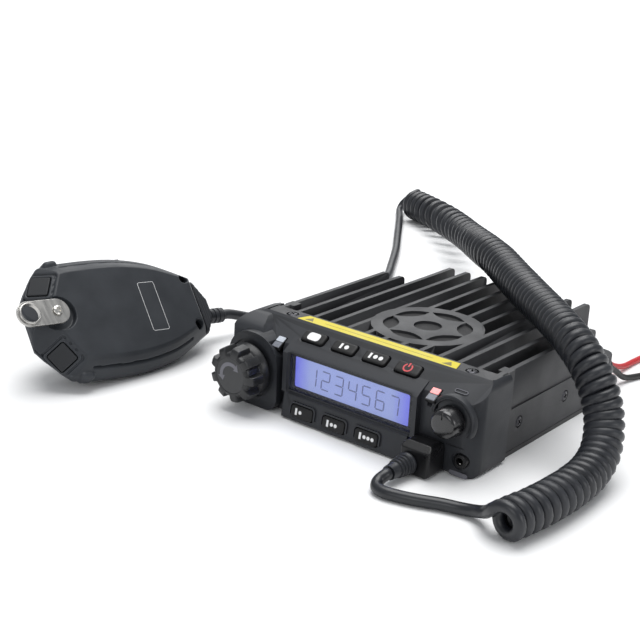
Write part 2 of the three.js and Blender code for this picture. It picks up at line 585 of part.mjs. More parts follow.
function micControls() {
  put(microphone, 'mic_key_up', cornerPad(1, 0, -1.6, 0.7), keyRubber);
  put(microphone, 'mic_key_down', cornerPad(-1, 0, -1.6, 0.7), keyRubber);
  put(microphone, 'mic_talk_bar', talkBar(0, 0), keyRubber);
}

// A plate on a short foot, with an open hanging eye at its far end.
function micClip() {
  const reach = CLIP.screwX - CLIP.eyeX;
  const plan = new THREE.Shape();
  plan.absarc(0, 0, 6.6, -Math.PI / 2, Math.PI / 2, false);
  plan.absarc(-reach, 0, 7.2, Math.PI / 2, Math.PI * 1.5, false);
  const plate = solid(prismZ(plan, 1.4, 3.2, 6));
  const foot = solid(cylinderZ(0, 0, -0.9, 1.6, 5.4, 24));
  const eye = solid(turnedZ([[0, 1.4], [6.2, 1.4], [6.2, 4.2], [0, 4.2]], 24)).translate([-reach, 0, 0]);
  const bore = solid(cylinderZ(-reach, 0, 0, 6, 5.2, 24));
  const clip = union([plate, foot, eye]).subtract(bore);
  put(microphone, 'mic_clip', geometryOf(clip).translate(CLIP.screwX, CLIP.y, 0), steel);
  put(microphone, 'mic_clip_screw', screwHead(2.8, 1.3).translate(CLIP.screwX, CLIP.y, 3.2 + GAP), nickel);
  [['mic_shell_screw_1', -14.5], ['mic_shell_screw_2', 14.5]].forEach(([name, y]) => {
    put(microphone, name, screwHead(2.4, 1.4).translate(25, y, -6.2 + GAP), darkSteel);
  });
}

function micInside() {
  put(microphone, 'mic_board', box(-58, 18, -14, 14, -15.2, -13.8), board);
  put(microphone, 'mic_capsule', cylinderZ(-40, 0, -23, -15.5, 9, 24), darkSteel);
}

function micGland() {
  const ribs = [];
  for (let i = 0; i < 3; i += 1) {
    const x = MIC_END - 0.6 + GAP + i * 2.9;
    const halfY = 16 - i * 3;
    const tall = 8.6 - i * 1.3;
    const rib = roundRect(-halfY - 1.5, halfY - 1.5, -tall, tall, [3, 3, 3, 3]);
    const core = roundRect(-halfY - 0.3, halfY - 2.7, -tall + 1, tall - 1, [2.5, 2.5, 2.5, 2.5]);
    [[rib, 0, 1.8], [core, 1.5, 3.2]].forEach(([shape, from, to]) => {
      ribs.push(solid(prismX(shape, x + from, x + to, 2).translate(0, 0, -15)));
    });
  }
  const stub = solid(cylinderX(GLAND.y, GLAND.z, MIC_END + 7, MIC_END + GLAND.length, 4.6, 12));
  put(microphone, 'mic_cord_gland', geometryOf(union([...ribs, stub])), cordRubber);
}

// ---------- cord ----------
const LEAD_FROM_PLUG = [[46.5, -29.8, 6.4], [46.5, -31.6, 6.3], [45.6, -35.6, 4.4], [47.4, -39.2, 3.2],
  [52.4, -40.8, 3.1], [59, -39.6, 3.1], [68, -36.6, 3.1], [78.4, -32, 3.1], [87.2, -29.4, 3.2], [94.6, -29, 4.5],
  [100.6, -31.6, 7.4], [105, -35.6, 11.2], [109, -38.4, 14.8]];
const COIL_ROUTE = [[115, -32, 10.3], [117.4, -18, 10.3], [118.6, -4, 10.3], [119, 14, 10.3], [118, 31, 10.8],
  [116.4, 43, 14.5], [113.8, 50.5, 22], [110, 54, 31.5], [104.6, 54.4, 42], [95.6, 56, 51.4], [82.4, 65.4, 56.8],
  [60.6, 87, 57.2], [38, 107.8, 57.2], [12.6, 130.8, 57.2], [-12, 154, 57.2], [-28, 169, 55.8], [-53, 198.3, 49.6],
  [-90.5, 247, 37.6], [-131, 298.5, 24.6], [-166, 338.5, 15.6], [-191, 362, 11.3], [-208, 373.6, 10.3],
  [-224, 381, 10.3]];
const LEAD_TO_MIC = [[-226.8, 386, 15.6], [-236, 391.6, 15.8], [-244.6, 394.6, 12.6], [-249.4, 393.6, 7.6],
  [-249, 388.4, 3.7], [-244.6, 381.6, 3.1], [-236.4, 370.6, 3.1], [-224, 352.6, 3.1], [-208.2, 329.4, 3.1],
  [-178.7, 286, 3.1], [-159, 254, 3.1], [-143.6, 228, 3.1], [-131.6, 200, 3.1], [-124, 172, 3.1], [-121.6, 146, 3.1],
  [-124, 123, 3.4], [-130, 102, 5], [-135, 85, 7.6]];
const COIL_STRETCHES = [
  { name: 'cord_coil_table', from: 0, to: 0.115, radius: COIL_RADIUS, steps: 7 },
  { name: 'cord_coil_rise', from: 0.1155, to: 0.22, radius: COIL_RADIUS - 0.6, steps: 8 },
  { name: 'cord_coil_top', from: 0.2205, to: 0.43, radius: COIL_RADIUS - 0.6, steps: 8 },
  { name: 'cord_coil_rear', from: 0.4305, to: 1, radius: COIL_RADIUS, steps: 16 },
];

function micPlace() {
  const turn = new THREE.Euler(rad(MIC_PLACE.tilt), rad(MIC_PLACE.pitch), rad(MIC_PLACE.yaw), 'ZYX');
  const matrix = new THREE.Matrix4().makeRotationFromEuler(turn);
  return matrix.setPosition(MIC_PLACE.x, MIC_PLACE.y, MIC_PLACE.z);
}

function coiledCord() {
  put(cords, 'cord_lead_radio', tube(smooth(LEAD_FROM_PLUG), CORD_RADIUS, 16), cordRubber);
  const coil = smooth(COIL_ROUTE);
  COIL_STRETCHES.forEach((s) => {
    put(cords, s.name, tube(new Stretch(coil, s.from, s.to), s.radius, s.steps, 12), cordRubber);
  });
  const glandRun = [5, GAP].map((ahead) => {
    return v3(MIC_END + GLAND.length + ahead, GLAND.y, GLAND.z).applyMatrix4(micPlace()).toArray();
  });
  put(cords, 'cord_lead_mic', tube(smooth([...LEAD_TO_MIC, ...glandRun]), CORD_RADIUS, 36), cordRubber);
}

function cordPlug() {
  const shape = roundRect(PLUG.x - PLUG.half, PLUG.x + PLUG.half, PLUG.z0, PLUG.z1, [2, 2, 3, 3]);
  const tongue = box(PLUG.x - 4.5, PLUG.x + 4.5, PLUG.back - 1, 7, 4.9, 11.1);
  const plug = solid(prismY(shape, PLUG.front, PLUG.back)).add(solid(tongue));
  put(cords, 'cord_plug', geometryOf(plug), matte);
  const boot = turnedForward([[0, 0], [5.6, 0], [5.6, 2], [4.6, 2.6], [5.2, 3.4], [5.2, 5], [4.2, 5.8], [4.6, 6.8],
    [4.6, 8.4], [3.8, 9.4], [3.6, 15.4], [0, 15.4]], 12);
  put(cords, 'cord_plug_boot', boot.translate(46.5, PLUG.front - GAP, 6.4), cordRubber);
}

// ---------- power wires ----------
const RED_ROUTE = [[55.8, 146.5, 14.5], [55.9, 158, 14.2], [56.4, 167, 11.6], [57, 178, 6], [57.3, 190, 2.6],
  [57.4, 204, 1.9], [58.6, 220, 1.9], [62, 236, 1.9], [67, 250, 1.9], [70.4, 262, 2.2], [71.6, 272, 3.6],
  [71.8, 280, 5]];
const BLACK_ROUTE = [[63.2, 146.5, 14.5], [63.3, 156, 13.6], [64.2, 163.5, 9.4], [66.4, 172, 3.4], [69.4, 182, 1.9],
  [74, 196, 1.9], [78.6, 212, 1.9], [82, 228, 1.9], [83.4, 244, 1.9], [82.6, 258, 2.1], [80.8, 270, 3.6],
  [80.2, 280, 5]];

function powerLead() {
  put(cords, 'wire_red', tube(smooth(RED_ROUTE), WIRE_RADIUS, 28, 8), redWire);
  put(cords, 'wire_black', tube(smooth(BLACK_ROUTE), WIRE_RADIUS, 28, 8), cordRubber);
  const shell = roundRect(66.4, 85.6, 0.2, 10, [1.2, 1.2, 1.2, 1.2]);
  const housing = solid(prismY(shell, 281, 305, 3));
  const mouths = [71.8, 80.2].map((x) => solid(box(x - 3.2, x + 3.2, 293, 306, 2, 8.2)));
  put(cords, 'power_connector', geometryOf(cut(housing, mouths)), matte);
}

heatSink();
bottomCover();
chassisScrews();
frontBezel();
displayPieces();
keys();
mainKnob();
volumeKnob();
sockets();
powerGrommet();
innerParts();
micShells();
micControls();
micClip();
micInside();
micGland();
coiledCord();
cordPlug();
powerLead();

microphone.applyMatrix4(micPlace());

const transceiver = new THREE.Group();
transceiver.add(radio, microphone, cords);
transceiver.position.y = -ORIGIN_FROM_FRONT;

export default transceiver;
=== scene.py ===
import math

import bmesh
import bpy
from mathutils import Matrix, Vector


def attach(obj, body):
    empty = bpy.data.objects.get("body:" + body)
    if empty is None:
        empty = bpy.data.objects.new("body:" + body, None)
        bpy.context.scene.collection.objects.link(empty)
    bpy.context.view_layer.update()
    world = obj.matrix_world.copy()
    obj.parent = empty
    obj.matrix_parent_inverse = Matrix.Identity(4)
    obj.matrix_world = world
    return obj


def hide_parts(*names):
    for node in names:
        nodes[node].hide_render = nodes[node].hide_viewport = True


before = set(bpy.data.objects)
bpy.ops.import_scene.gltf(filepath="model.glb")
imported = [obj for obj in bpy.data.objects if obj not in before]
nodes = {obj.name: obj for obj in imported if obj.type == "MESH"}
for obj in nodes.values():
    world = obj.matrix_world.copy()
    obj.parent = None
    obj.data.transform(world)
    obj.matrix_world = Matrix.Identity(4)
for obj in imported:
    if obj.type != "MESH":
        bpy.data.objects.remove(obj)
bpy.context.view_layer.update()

# ---------------- sizes, in mm
# Lengths are in mm with y = 0 at the front of the bezel. FRAME carries them to metres in the shared frame.
ORIGIN_FROM_FRONT = 85
BODY_HALF = 70.5
BODY_REAR = 150
TOP = 46.5
BOSS = (4.3, 58.5)
BEZEL_FLOOR = 0.4
UPPER_SLOPE = ((-1, 37), (15.5, 47.0))
LOWER_FACE = ((-5.6, 1.0), (-3.4, 13.6))
UPPER_KEY_X = (-31, -11.3, 8.4, 28.1)
LOWER_KEY_X = (-26.3, -5.6, 15.1)
UPPER_KEY_SHARE = 0.56             # how far up its face a key's middle lies
LOWER_KEY_SHARE = 0.42
UPPER_KEY_HALF = 3.3               # half a key's height
LOWER_KEY_HALF = 3.2
KEY_MARK_SCALE = 1.3
INDICATOR_X = 48.5
DISPLAY = (-36.5, 36.5, 16.4, 34.8)
MAIN_KNOB = (-62.4, 21.0)
MAIN_KNOB_BACK = -6
VOLUME_KNOB = (60.5, 28.5)
DATA_JACK = (66.5, 9)
TOP_SCREW = (56.5, 20.5)
SIDE_SCREWS = (("front", 46), ("rear", 92.5))
SIDE_SCREW_HEIGHT = 16.5
BOTTOM_SCREWS = ((-62, 40), (62, 40), (-62, 136), (62, 136))
ANTENNA_X = -30
REAR_SOCKET_HEIGHT = 14
PLUG_X = 49.5
PLUG_HALF = 8.2
PLUG_TOP = 16.4
CORD_RADIUS = 3
COIL_TIGHT = 7.0                   # the coil's radius on the table, over the radio and at its far end
COIL_OVER = 7.8
COIL_WIDE = 9.6
COIL_PITCH = 5.9
COIL_RISE_PITCH = 4.9
COIL_OPEN_PITCH = 22
WIRE_RADIUS = 1.75
MIC_PLACE = (-142, 2.5, 34.4)
MIC_TURN = (48, 5, 81)
MIC_END = 35
CLIP_SCREW = (-64, 1.8)
CLIP_REACH = 16.3
CLIP_HALF = 7.2
MIC_SCREW = (25, 14.5)
GLAND = (-4.5, -17, 21)


def at(x, y, z=0):
    return Matrix.Translation((x, y, z))


def spin(degrees, axis):
    return Matrix.Rotation(math.radians(degrees), 4, axis)


FRAME = Matrix.Scale(0.001, 4) @ at(0, -ORIGIN_FROM_FRONT)
FORWARD = spin(90, "X")     # turns a piece's own +Z to the front
SIDEWAYS = Matrix(((0, 0, 1, 0), (1, 0, 0, 0), (0, 1, 0, 0), (0, 0, 0, 1)))     # and this one to the right
tilt, pitch, yaw = MIC_TURN
MIC = FRAME @ at(*MIC_PLACE) @ spin(yaw, "Z") @ spin(pitch, "Y") @ spin(tilt, "X")


def in_front(x, y, z):
    """Where a piece that faces forward lies."""
    return FRAME @ at(x, y, z) @ FORWARD


def behind(x):
    """Where a socket that faces backward lies on the rear panel."""
    return FRAME @ at(x, BODY_REAR - 1.2, REAR_SOCKET_HEIGHT) @ spin(-90, "X")


def slope_place(face, x, share):
    """Where a piece made face-up lies on a sloping face, at x and at a share of the face's length."""
    (y0, z0), (y1, z1) = face
    angle = math.atan2(z1 - z0, y1 - y0)
    return at(x, y0 + (y1 - y0) * share, z0 + (z1 - z0) * share) @ Matrix.Rotation(angle, 4, "X")


def new_object(name, data):
    obj = bpy.data.objects.new(name, data)
    bpy.context.scene.collection.objects.link(obj)
    return obj


# ---------------- camera, floor and lights
CAMERA_TARGET = (-56.1, 43.41, 37.58)
CAMERA_DISTANCE = 685.38
CAMERA_AZIMUTH = 38.41
CAMERA_ELEVATION = 19.35
CAMERA_ROLL = 2.86
CAMERA_LENS = 70.49
SKY_COLOUR = (0.96, 0.99, 1.03, 1)
SKY_STRENGTH = 0.42
SUN_SPREAD = 50
FLOOR_RADIUS = 40
LIGHTS = (      # name, place and size in metres, and power
    ("even_light", (-0.2, 0.3, 1.5), 0, 2.6),
    ("back_light", (-0.9, 1.1, 0.8), 1.0, 5),
    ("front_light", (0.3, -1.5, 0.8), 0.8, 4),
    ("side_light", (1.5, 0.1, 0.5), 0.7, 4))


def make_camera():
    data = bpy.data.cameras.new("camera")
    data.lens = CAMERA_LENS
    data.sensor_width = 36
    data.clip_start = 0.02
    data.clip_end = 50
    camera = new_object("camera", data)
    a, e = math.radians(CAMERA_AZIMUTH), math.radians(CAMERA_ELEVATION)
    back = Vector((math.sin(a) * math.cos(e), -math.cos(a) * math.cos(e), math.sin(e)))
    turn = back.to_track_quat("Z", "Y").to_matrix().to_4x4()
    place = FRAME @ (Vector(CAMERA_TARGET) + back * CAMERA_DISTANCE)
    camera.matrix_world = Matrix.Translation(place) @ turn @ spin(CAMERA_ROLL, "Z")
    bpy.context.scene.camera = camera


def make_light(name, place, size, power):
    """A soft round light, or with no size an even light over everything, aimed at the origin."""
    data = bpy.data.lights.new(name, "AREA" if size else "SUN")
    if size:
        data.shape = "DISK"
        data.size = size
    else:
        data.angle = math.radians(SUN_SPREAD)
    data.energy = power
    light = new_object(name, data)
    light.location = place
    light.rotation_mode = "QUATERNION"
    light.rotation_quaternion = Vector(place).to_track_quat("Z", "Y")
    light.visible_camera = False


def make_studio():
    world = bpy.data.worlds.new("studio")
    world.use_nodes = True
    set_inputs(world.node_tree.nodes["Background"], {"Color": SKY_COLOUR, "Strength": SKY_STRENGTH})
    bpy.context.scene.world = world
    bpy.context.scene.view_settings.view_transform = "Standard"
    for light in LIGHTS:
        make_light(*light)
    bm = bmesh.new()
    bmesh.ops.create_circle(bm, cap_ends=True, radius=FLOOR_RADIUS, segments=64)
    mesh = bpy.data.meshes.new("floor")
    bm.to_mesh(mesh)
    bm.free()
    floor = new_object("floor", mesh)
    mesh.materials.append(surface("floor_paper", (0.9, 0.9, 0.9), 0.85, mottle=0.01, grain=300, bump=0.02))


# ---------------- materials
def set_inputs(node, values):
    for name, value in values.items():
        node.inputs[name].default_value = value


def shader_of(material):
    return material.node_tree.nodes["Principled BSDF"]


def add_node(tree, kind, values=(), sources=()):
    """A shader node with these input values, fed by these outputs of other nodes."""
    node = tree.nodes.new("ShaderNode" + kind)
    set_inputs(node, dict(values))
    for name, source in dict(sources).items():
        tree.links.new(source, node.inputs[name])
    return node


def surface(name, colour, rough, metal=0.0, mottle=0.15, patch=60, grain=1400, bump=0.25, depth=0.00012,
            swing=0.08, edge_sheen=0.0, coat=0.0, stretch=(1, 1, 1), shine=0.5):
    """A surface with patchy colour, uneven gloss, fine grain and paler edges that are a painted highlight.
    """
    material = bpy.data.materials.new(name)
    material.use_nodes = True
    tree = material.node_tree
    shader = shader_of(material)
    set_inputs(shader, {"Metallic": metal, "Specular IOR Level": shine, "Coat Weight": coat,
                        "Coat Roughness": 0.2})
    coords = add_node(tree, "TexCoord")
    spread = add_node(tree, "Mapping", {"Scale": stretch}, {"Vector": coords.outputs["Object"]})
    patches = noise(tree, spread, patch, 3)
    fine = noise(tree, spread, grain, 2)
    dark = tuple(c * (1 - mottle) for c in colour)
    light = tuple(min(1, c * (1 + mottle)) for c in colour)
    base = blend_colour(tree, patches.outputs["Fac"], dark, light, 0.3, 0.7)
    # Convex edges, found by pointiness, get a paler colour: a painted highlight along the edges.
    if edge_sheen:
        geometry = add_node(tree, "NewGeometry")
        edge = ramp_value(tree, geometry.outputs["Pointiness"], 0.51, 0.56, 0.0, edge_sheen)
        sheen_colour = tuple(min(1, c * 2.2 + 0.02) for c in colour)
        base = mix_colour(tree, edge, base, sheen_colour)
    tree.links.new(base, shader.inputs["Base Color"])
    gloss = ramp_value(tree, patches.outputs["Fac"], 0.3, 0.7, rough - swing, rough + swing)
    tree.links.new(gloss, shader.inputs["Roughness"])
    dimple = add_node(tree, "Bump", {"Strength": bump, "Distance": depth}, {"Height": fine.outputs["Fac"]})
    tree.links.new(dimple.outputs["Normal"], shader.inputs["Normal"])
    return material


def noise(tree, coords, scale, detail):
    return add_node(tree, "TexNoise", {"Scale": scale, "Detail": detail}, {"Vector": coords.outputs[0]})


def ramp_value(tree, value, low, high, to_low, to_high):
    limits = {"From Min": low, "From Max": high, "To Min": to_low, "To Max": to_high}
    return add_node(tree, "MapRange", limits, {"Value": value}).outputs["Result"]


def mix_colour(tree, factor, first, second):
    node = tree.nodes.new("ShaderNodeMix")
    node.data_type = "RGBA"
    tree.links.new(factor, node.inputs["Factor"])
    for socket, colour in (("A", first), ("B", second)):
        entry = next(s for s in node.inputs if s.name == socket and s.type == "RGBA")
        if isinstance(colour, tuple):
            entry.default_value = (*colour, 1)
        else:
            tree.links.new(colour, entry)
    return next(s for s in node.outputs if s.type == "RGBA")


def blend_colour(tree, value, first, second, low, high):
    return mix_colour(tree, ramp_value(tree, value, low, high, 0.0, 1.0), first, second)


def display_glow():
    """The lit display: lavender in the middle, deeper blue towards its two ends."""
    material = surface("display_glow", (0.30, 0.34, 0.66), 0.35, mottle=0.04, patch=40, bump=0.05)
    tree = material.node_tree
    shader = shader_of(material)
    coords = add_node(tree, "TexCoord")
    split = add_node(tree, "SeparateXYZ", {}, {"Vector": coords.outputs["Object"]})
    side = add_node(tree, "Math", {}, {0: split.outputs["X"]})
    side.operation = "ABSOLUTE"
    glow = blend_colour(tree, side.outputs["Value"], (0.30, 0.36, 0.68), (0.16, 0.17, 0.80), 0.026, 0.037)
    tree.links.new(glow, shader.inputs["Base Color"])
    tree.links.new(glow, shader.inputs["Emission Color"])
    shader.inputs["Emission Strength"].default_value = 0.42
    return material


def clear_plastic():
    material = surface("clear_plastic", (0.12, 0.13, 0.18), 0.06, mottle=0.03, bump=0.01, swing=0.02,
                       shine=0.3)
    set_inputs(shader_of(material), {"Alpha": 0.08})
    return material


def lamp_plastic(name, colour, strength):
    material = surface(name, colour, 0.3, mottle=0.1, patch=700, bump=0.1, swing=0.05)
    set_inputs(shader_of(material), {"Emission Color": (*colour, 1), "Emission Strength": strength})
    return material


# Every material, by the short name that the pieces use.
materials = {
    "bezel": surface("bezel_plastic", (0.0135, 0.0148, 0.018), 0.42, grain=2600, edge_sheen=0.35, shine=0.3),
    "cast": surface("cast_black_paint", (0.0125, 0.0128, 0.0145), 0.5, grain=1500, bump=0.45, edge_sheen=0.6,
                    shine=0.3),
    "cover": surface("cover_black_paint", (0.013, 0.013, 0.0135), 0.45, grain=1600, bump=0.4, edge_sheen=0.4,
                     shine=0.4),
    "zinc": surface("black_zinc", (0.035, 0.035, 0.04), 0.3, metal=0.85, grain=3000, bump=0.15, edge_sheen=0.5),
    "nickel": surface("nickel_plate", (0.72, 0.70, 0.66), 0.22, metal=1.0, grain=2500, bump=0.08,
                      swing=0.06),
    "steel": surface("brushed_steel", (0.46, 0.45, 0.43), 0.34, metal=1.0, grain=500, bump=0.12,
                     stretch=(1, 9, 1), mottle=0.08),
    "key": surface("key_rubber", (0.009, 0.009, 0.0095), 0.55, grain=3000, bump=0.2, mottle=0.2,
                   shine=0.35),
    "knob": surface("knob_plastic", (0.013, 0.0135, 0.015), 0.36, grain=2400, edge_sheen=0.3, shine=0.4),
    "gloss": surface("glossy_knob", (0.007, 0.007, 0.008), 0.22, grain=900, bump=0.1, coat=0.4, swing=0.06),
    "face": surface("knob_face", (0.034, 0.035, 0.037), 0.45, grain=2400, bump=0.2, mottle=0.1, shine=0.4),
    "mic": surface("microphone_plastic", (0.024, 0.027, 0.032), 0.46, grain=1900, bump=0.4, edge_sheen=0.3,
                   shine=0.35),
    "pad": surface("pad_rubber", (0.021, 0.0225, 0.025), 0.55, grain=2200, bump=0.3, mottle=0.1, shine=0.3),
    "rubber": surface("cord_rubber", (0.013, 0.0145, 0.0185), 0.4, grain=1800, bump=0.15, mottle=0.2),
    "plug": surface("plug_plastic", (0.008, 0.008, 0.009), 0.3, grain=1200, bump=0.08, shine=0.3),
    "red": surface("red_insulation", (0.50, 0.018, 0.022), 0.38, grain=1200, bump=0.1, mottle=0.1),
    "black": surface("black_insulation", (0.012, 0.012, 0.012), 0.38, grain=1200, bump=0.1, mottle=0.2),
    "label": surface("yellow_label", (0.60, 0.50, 0.003), 0.5, grain=1500, bump=0.05, mottle=0.04),
    "label_dark": surface("label_edge", (0.16, 0.13, 0.02), 0.5, bump=0.05),
    "print_white": surface("white_print", (0.80, 0.80, 0.80), 0.5, bump=0.1, mottle=0.03),
    "print_grey": surface("grey_print", (0.13, 0.13, 0.15), 0.5, bump=0.1, mottle=0.1),
    "print_red": surface("red_print", (0.62, 0.06, 0.07), 0.5, bump=0.1, mottle=0.1),
    "digit": surface("display_segment", (0.20, 0.22, 0.42), 0.5, bump=0.05, mottle=0.1),
    "mask": surface("display_mask", (0.006, 0.006, 0.007), 0.35, bump=0.1),
    "cloth": surface("speaker_cloth", (0.014, 0.014, 0.015), 0.8, grain=1600, bump=0.9, depth=0.0003),
    "board": surface("circuit_board", (0.02, 0.11, 0.05), 0.45, patch=220, mottle=0.4, grain=900, bump=0.4),
    "metal": surface("control_metal", (0.40, 0.39, 0.37), 0.4, metal=1.0, bump=0.2, mottle=0.1),
    "paper": surface("speaker_paper", (0.03, 0.03, 0.03), 0.85, grain=700, bump=0.6),
    "lamp_white": lamp_plastic("lamp_white", (0.42, 0.45, 0.50), 0.25),
    "lamp_grey": lamp_plastic("lamp_grey", (0.16, 0.17, 0.20), 0.05),
    "lamp_red": lamp_plastic("lamp_red", (0.85, 0.30, 0.30), 0.45),
    "glow": display_glow(),
    "clear": clear_plastic(),
}


# ---------------- mesh tools (all in mm)
def loft(rings):
    """A closed body through rings of equal point counts, capped at both ends."""
    bm = bmesh.new()
    rows = [[bm.verts.new(p) for p in ring] for ring in rings]
    count = len(rows[0])
    for a, b in zip(rows, rows[1:]):
        for i in range(count):
            j = (i + 1) % count
            bm.faces.new((a[i], a[j], b[j], b[i]))
    bm.faces.new(rows[0][::-1])
    bm.faces.new(rows[-1])
    bmesh.ops.recalc_face_normals(bm, faces=bm.faces)
    return bm


def arc(x, y, radius, start, end, steps):
    """Points of an arc, its angles in degrees."""
    turns = [math.radians(start + (end - start) * i / steps) for i in range(steps + 1)]
    return [(x + radius * math.cos(a), y + radius * math.sin(a)) for a in turns]


CORNER_STEPS = 6


def round_rect(x0, x1, y0, y1, radius):
    corners = ((x1 - radius, y0 + radius, -90), (x1 - radius, y1 - radius, 0),
               (x0 + radius, y1 - radius, 90), (x0 + radius, y0 + radius, 180))
    return [p for x, y, a in corners for p in arc(x, y, radius, a, a + 90, CORNER_STEPS)]


def ordered(points):
    """The same outline, anticlockwise."""
    area = sum(a[0] * b[1] - b[0] * a[1] for a, b in zip(points, points[1:] + points[:1]))
    return points if area > 0 else points[::-1]


def inset(points, distance):
    """The outline moved inwards; its points run anticlockwise."""
    shifted = []
    for i in range(len(points)):
        before, here, after = (Vector(points[(i + k) % len(points)]) for k in (-1, 0, 1))
        normals = []
        for a, b in ((before, here), (here, after)):
            edge = b - a
            if edge.length > 1e-6:
                normals.append(Vector((-edge.y, edge.x)).normalized())
        mitre = sum(normals, Vector((0, 0)))
        scale = distance / max(0.3, mitre.length_squared / 2) if len(normals) == 2 else distance
        shifted.append(tuple(here + mitre * scale))
    return shifted


BOTTOM_ANGLES = (0.0, 0.55, 1.05)       # where a rounded edge has its points, in radians
TOP_ANGLES = (0.4, 0.8, 1.2)


def prism(points, low, high, top=0.0, bottom=0.0, crown=0.0):
    """An outline raised from low to high, with rounded edges; crown domes the top a little."""
    if bottom:
        rings = [(bottom * (1 - math.sin(a)), low + bottom * (1 - math.cos(a))) for a in BOTTOM_ANGLES]
        rings.append((0, low + bottom))
    else:
        rings = [(0, low)]
    if top:
        rings.append((0, high - top))
        rings += [(top * (1 - math.cos(a)), high - top + top * math.sin(a)) for a in TOP_ANGLES]
        rings.append((top, high))
    else:
        rings.append((0, high))
    if crown:
        rings += [(top + crown * 2, high + crown * 0.45), (top + crown * 5, high + crown * 0.8)]
    return loft([[(x, y, z) for x, y in inset(points, d)] for d, z in rings])


def ring(radius, height, steps):
    turns = [2 * math.pi * i / steps for i in range(steps)]
    return [(radius * math.cos(a), radius * math.sin(a), height) for a in turns]


def turned(profile, steps):
    """A turned profile of (radius, height) about Z, capped flat at both ends."""
    return loft([ring(r, z, steps) for r, z in profile])


def block(x0, x1, y0, y1, z0, z1):
    return prism([(x0, y0), (x1, y0), (x1, y1), (x0, y1)], z0, z1)


def moved(bm, matrix):
    bm.transform(matrix)
    return bm


def side_prism(points, x0, x1, **edges):
    """An outline in the YZ plane, raised along X."""
    return moved(prism(points, x0, x1, **edges), SIDEWAYS)


def front_prism(points, y0, y1, **edges):
    """An outline in the XZ plane, raised forward from y1 to y0."""
    return moved(prism(points, -y1, -y0, **edges), FORWARD)


def body_from(*parts):
    """One mesh object of these bodies, in mm."""
    mesh = bpy.data.meshes.new("work")
    whole = bmesh.new()
    for part in parts:
        part.to_mesh(mesh)
        whole.from_mesh(mesh)
        part.free()
    whole.to_mesh(mesh)
    whole.free()
    return new_object("work", mesh)


def mesh_of(obj):
    """A working object's mesh as a bmesh; the object is used up."""
    bm = bmesh.new()
    bm.from_mesh(obj.data)
    bpy.data.objects.remove(obj)
    return bm


def copy_of(node):
    """A working copy of a CAD node, in mm, with its flat faces whole again."""
    bm = bmesh.new()
    bm.from_mesh(nodes[node].data)
    bm.transform(FRAME.inverted())
    bmesh.ops.remove_doubles(bm, verts=bm.verts, dist=0.002)
    bmesh.ops.dissolve_limit(bm, angle_limit=math.radians(1), verts=bm.verts, edges=bm.edges)
    return body_from(bm)


def change(obj, kind, **settings):
    """Applies a modifier of this kind to an object's mesh."""
    modifier = obj.modifiers.new(kind.lower(), kind)
    for name, value in settings.items():
        setattr(modifier, name, value)
    bpy.context.view_layer.update()
    shown = obj.evaluated_get(bpy.context.evaluated_depsgraph_get())
    mesh = bpy.data.meshes.new_from_object(shown)
    obj.modifiers.clear()
    old = obj.data
    obj.data = mesh
    bpy.data.meshes.remove(old)
    return obj


def combine(obj, tools, operation="DIFFERENCE"):
    """Cuts or joins working bodies with another, which are used up."""
    for tool in tools:
        other = body_from(tool)
        change(obj, "BOOLEAN", object=other, operation=operation, solver="EXACT")
        bpy.data.objects.remove(other)
    return obj


def cut(body, *tools):
    """A working object of this body, with the others cut out of it."""
    return combine(body_from(body), tools)


def rounded(obj, width, segments, angle=35):
    """Rounds an object's sharp edges."""
    return change(obj, "BEVEL", width=width, segments=segments, limit_method="ANGLE",
                  angle_limit=math.radians(angle))


def moulded(obj, voxel, passes=3):
    """Joins overlapping bodies into one skin with soft edges."""
    change(obj, "REMESH", mode="VOXEL", voxel_size=voxel)
    return change(obj, "SMOOTH", iterations=passes, factor=0.5)


EVEN_SHADING_LIMIT = 12000      # polygons; finer pieces shade well without it


def piece(name, obj, material, body="root", place=FRAME, cad=None, sharp=40):
    """Turns a working object, or a bmesh, into a finished piece, which may replace a CAD node."""
    if isinstance(obj, bmesh.types.BMesh):
        obj = body_from(obj)
    obj.name = name
    obj.data.transform(place)
    obj.data.materials.clear()
    obj.data.materials.append(materials[material])
    obj.data.shade_smooth()
    obj.data.set_sharp_from_angle(angle=math.radians(sharp))
    if len(obj.data.polygons) < EVEN_SHADING_LIMIT:
        change(obj, "WEIGHTED_NORMAL", weight=100, keep_sharp=True)
    obj.data.name = name
    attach(obj, body)
    if cad:
        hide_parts(cad)


# ---------------- cords
LEAD_FROM_PLUG = [
    (46.5, -29.8, 6.4), (46.5, -31.6, 6.3), (45.6, -35.6, 4.4), (47.4, -39.2, 3.2), (52.4, -40.8, 3.1),
    (59, -39.6, 3.1), (68, -36.6, 3.1), (78.4, -32, 3.1), (87.2, -29.4, 3.2), (94.6, -29, 4.5),
    (100.6, -31.6, 7.4), (105, -35.6, 11.2)]
COIL_ROUTE = [
    (114, -38.4, 10.3), (115, -32, 10.3), (117.4, -18, 10.3), (118.6, -4, 10.3), (119, 14, 10.3),
    (118, 31, 11.2), (116.4, 43, 15.4), (113.8, 50.5, 22.4), (110, 55, 31.8), (104.6, 57, 42),
    (96, 60.5, 51.2), (82.4, 69, 57.2), (61.6, 87, 58.8), (38, 107.8, 58.8), (12.6, 130.8, 58.8),
    (-12, 154, 58.8), (-28, 169, 57.4), (-53, 198.3, 51.2), (-91, 247, 39.4), (-132, 298.5, 27),
    (-168, 338.5, 18.4), (-194, 362, 14.2), (-212, 374, 12.8), (-229, 382, 12.7)]
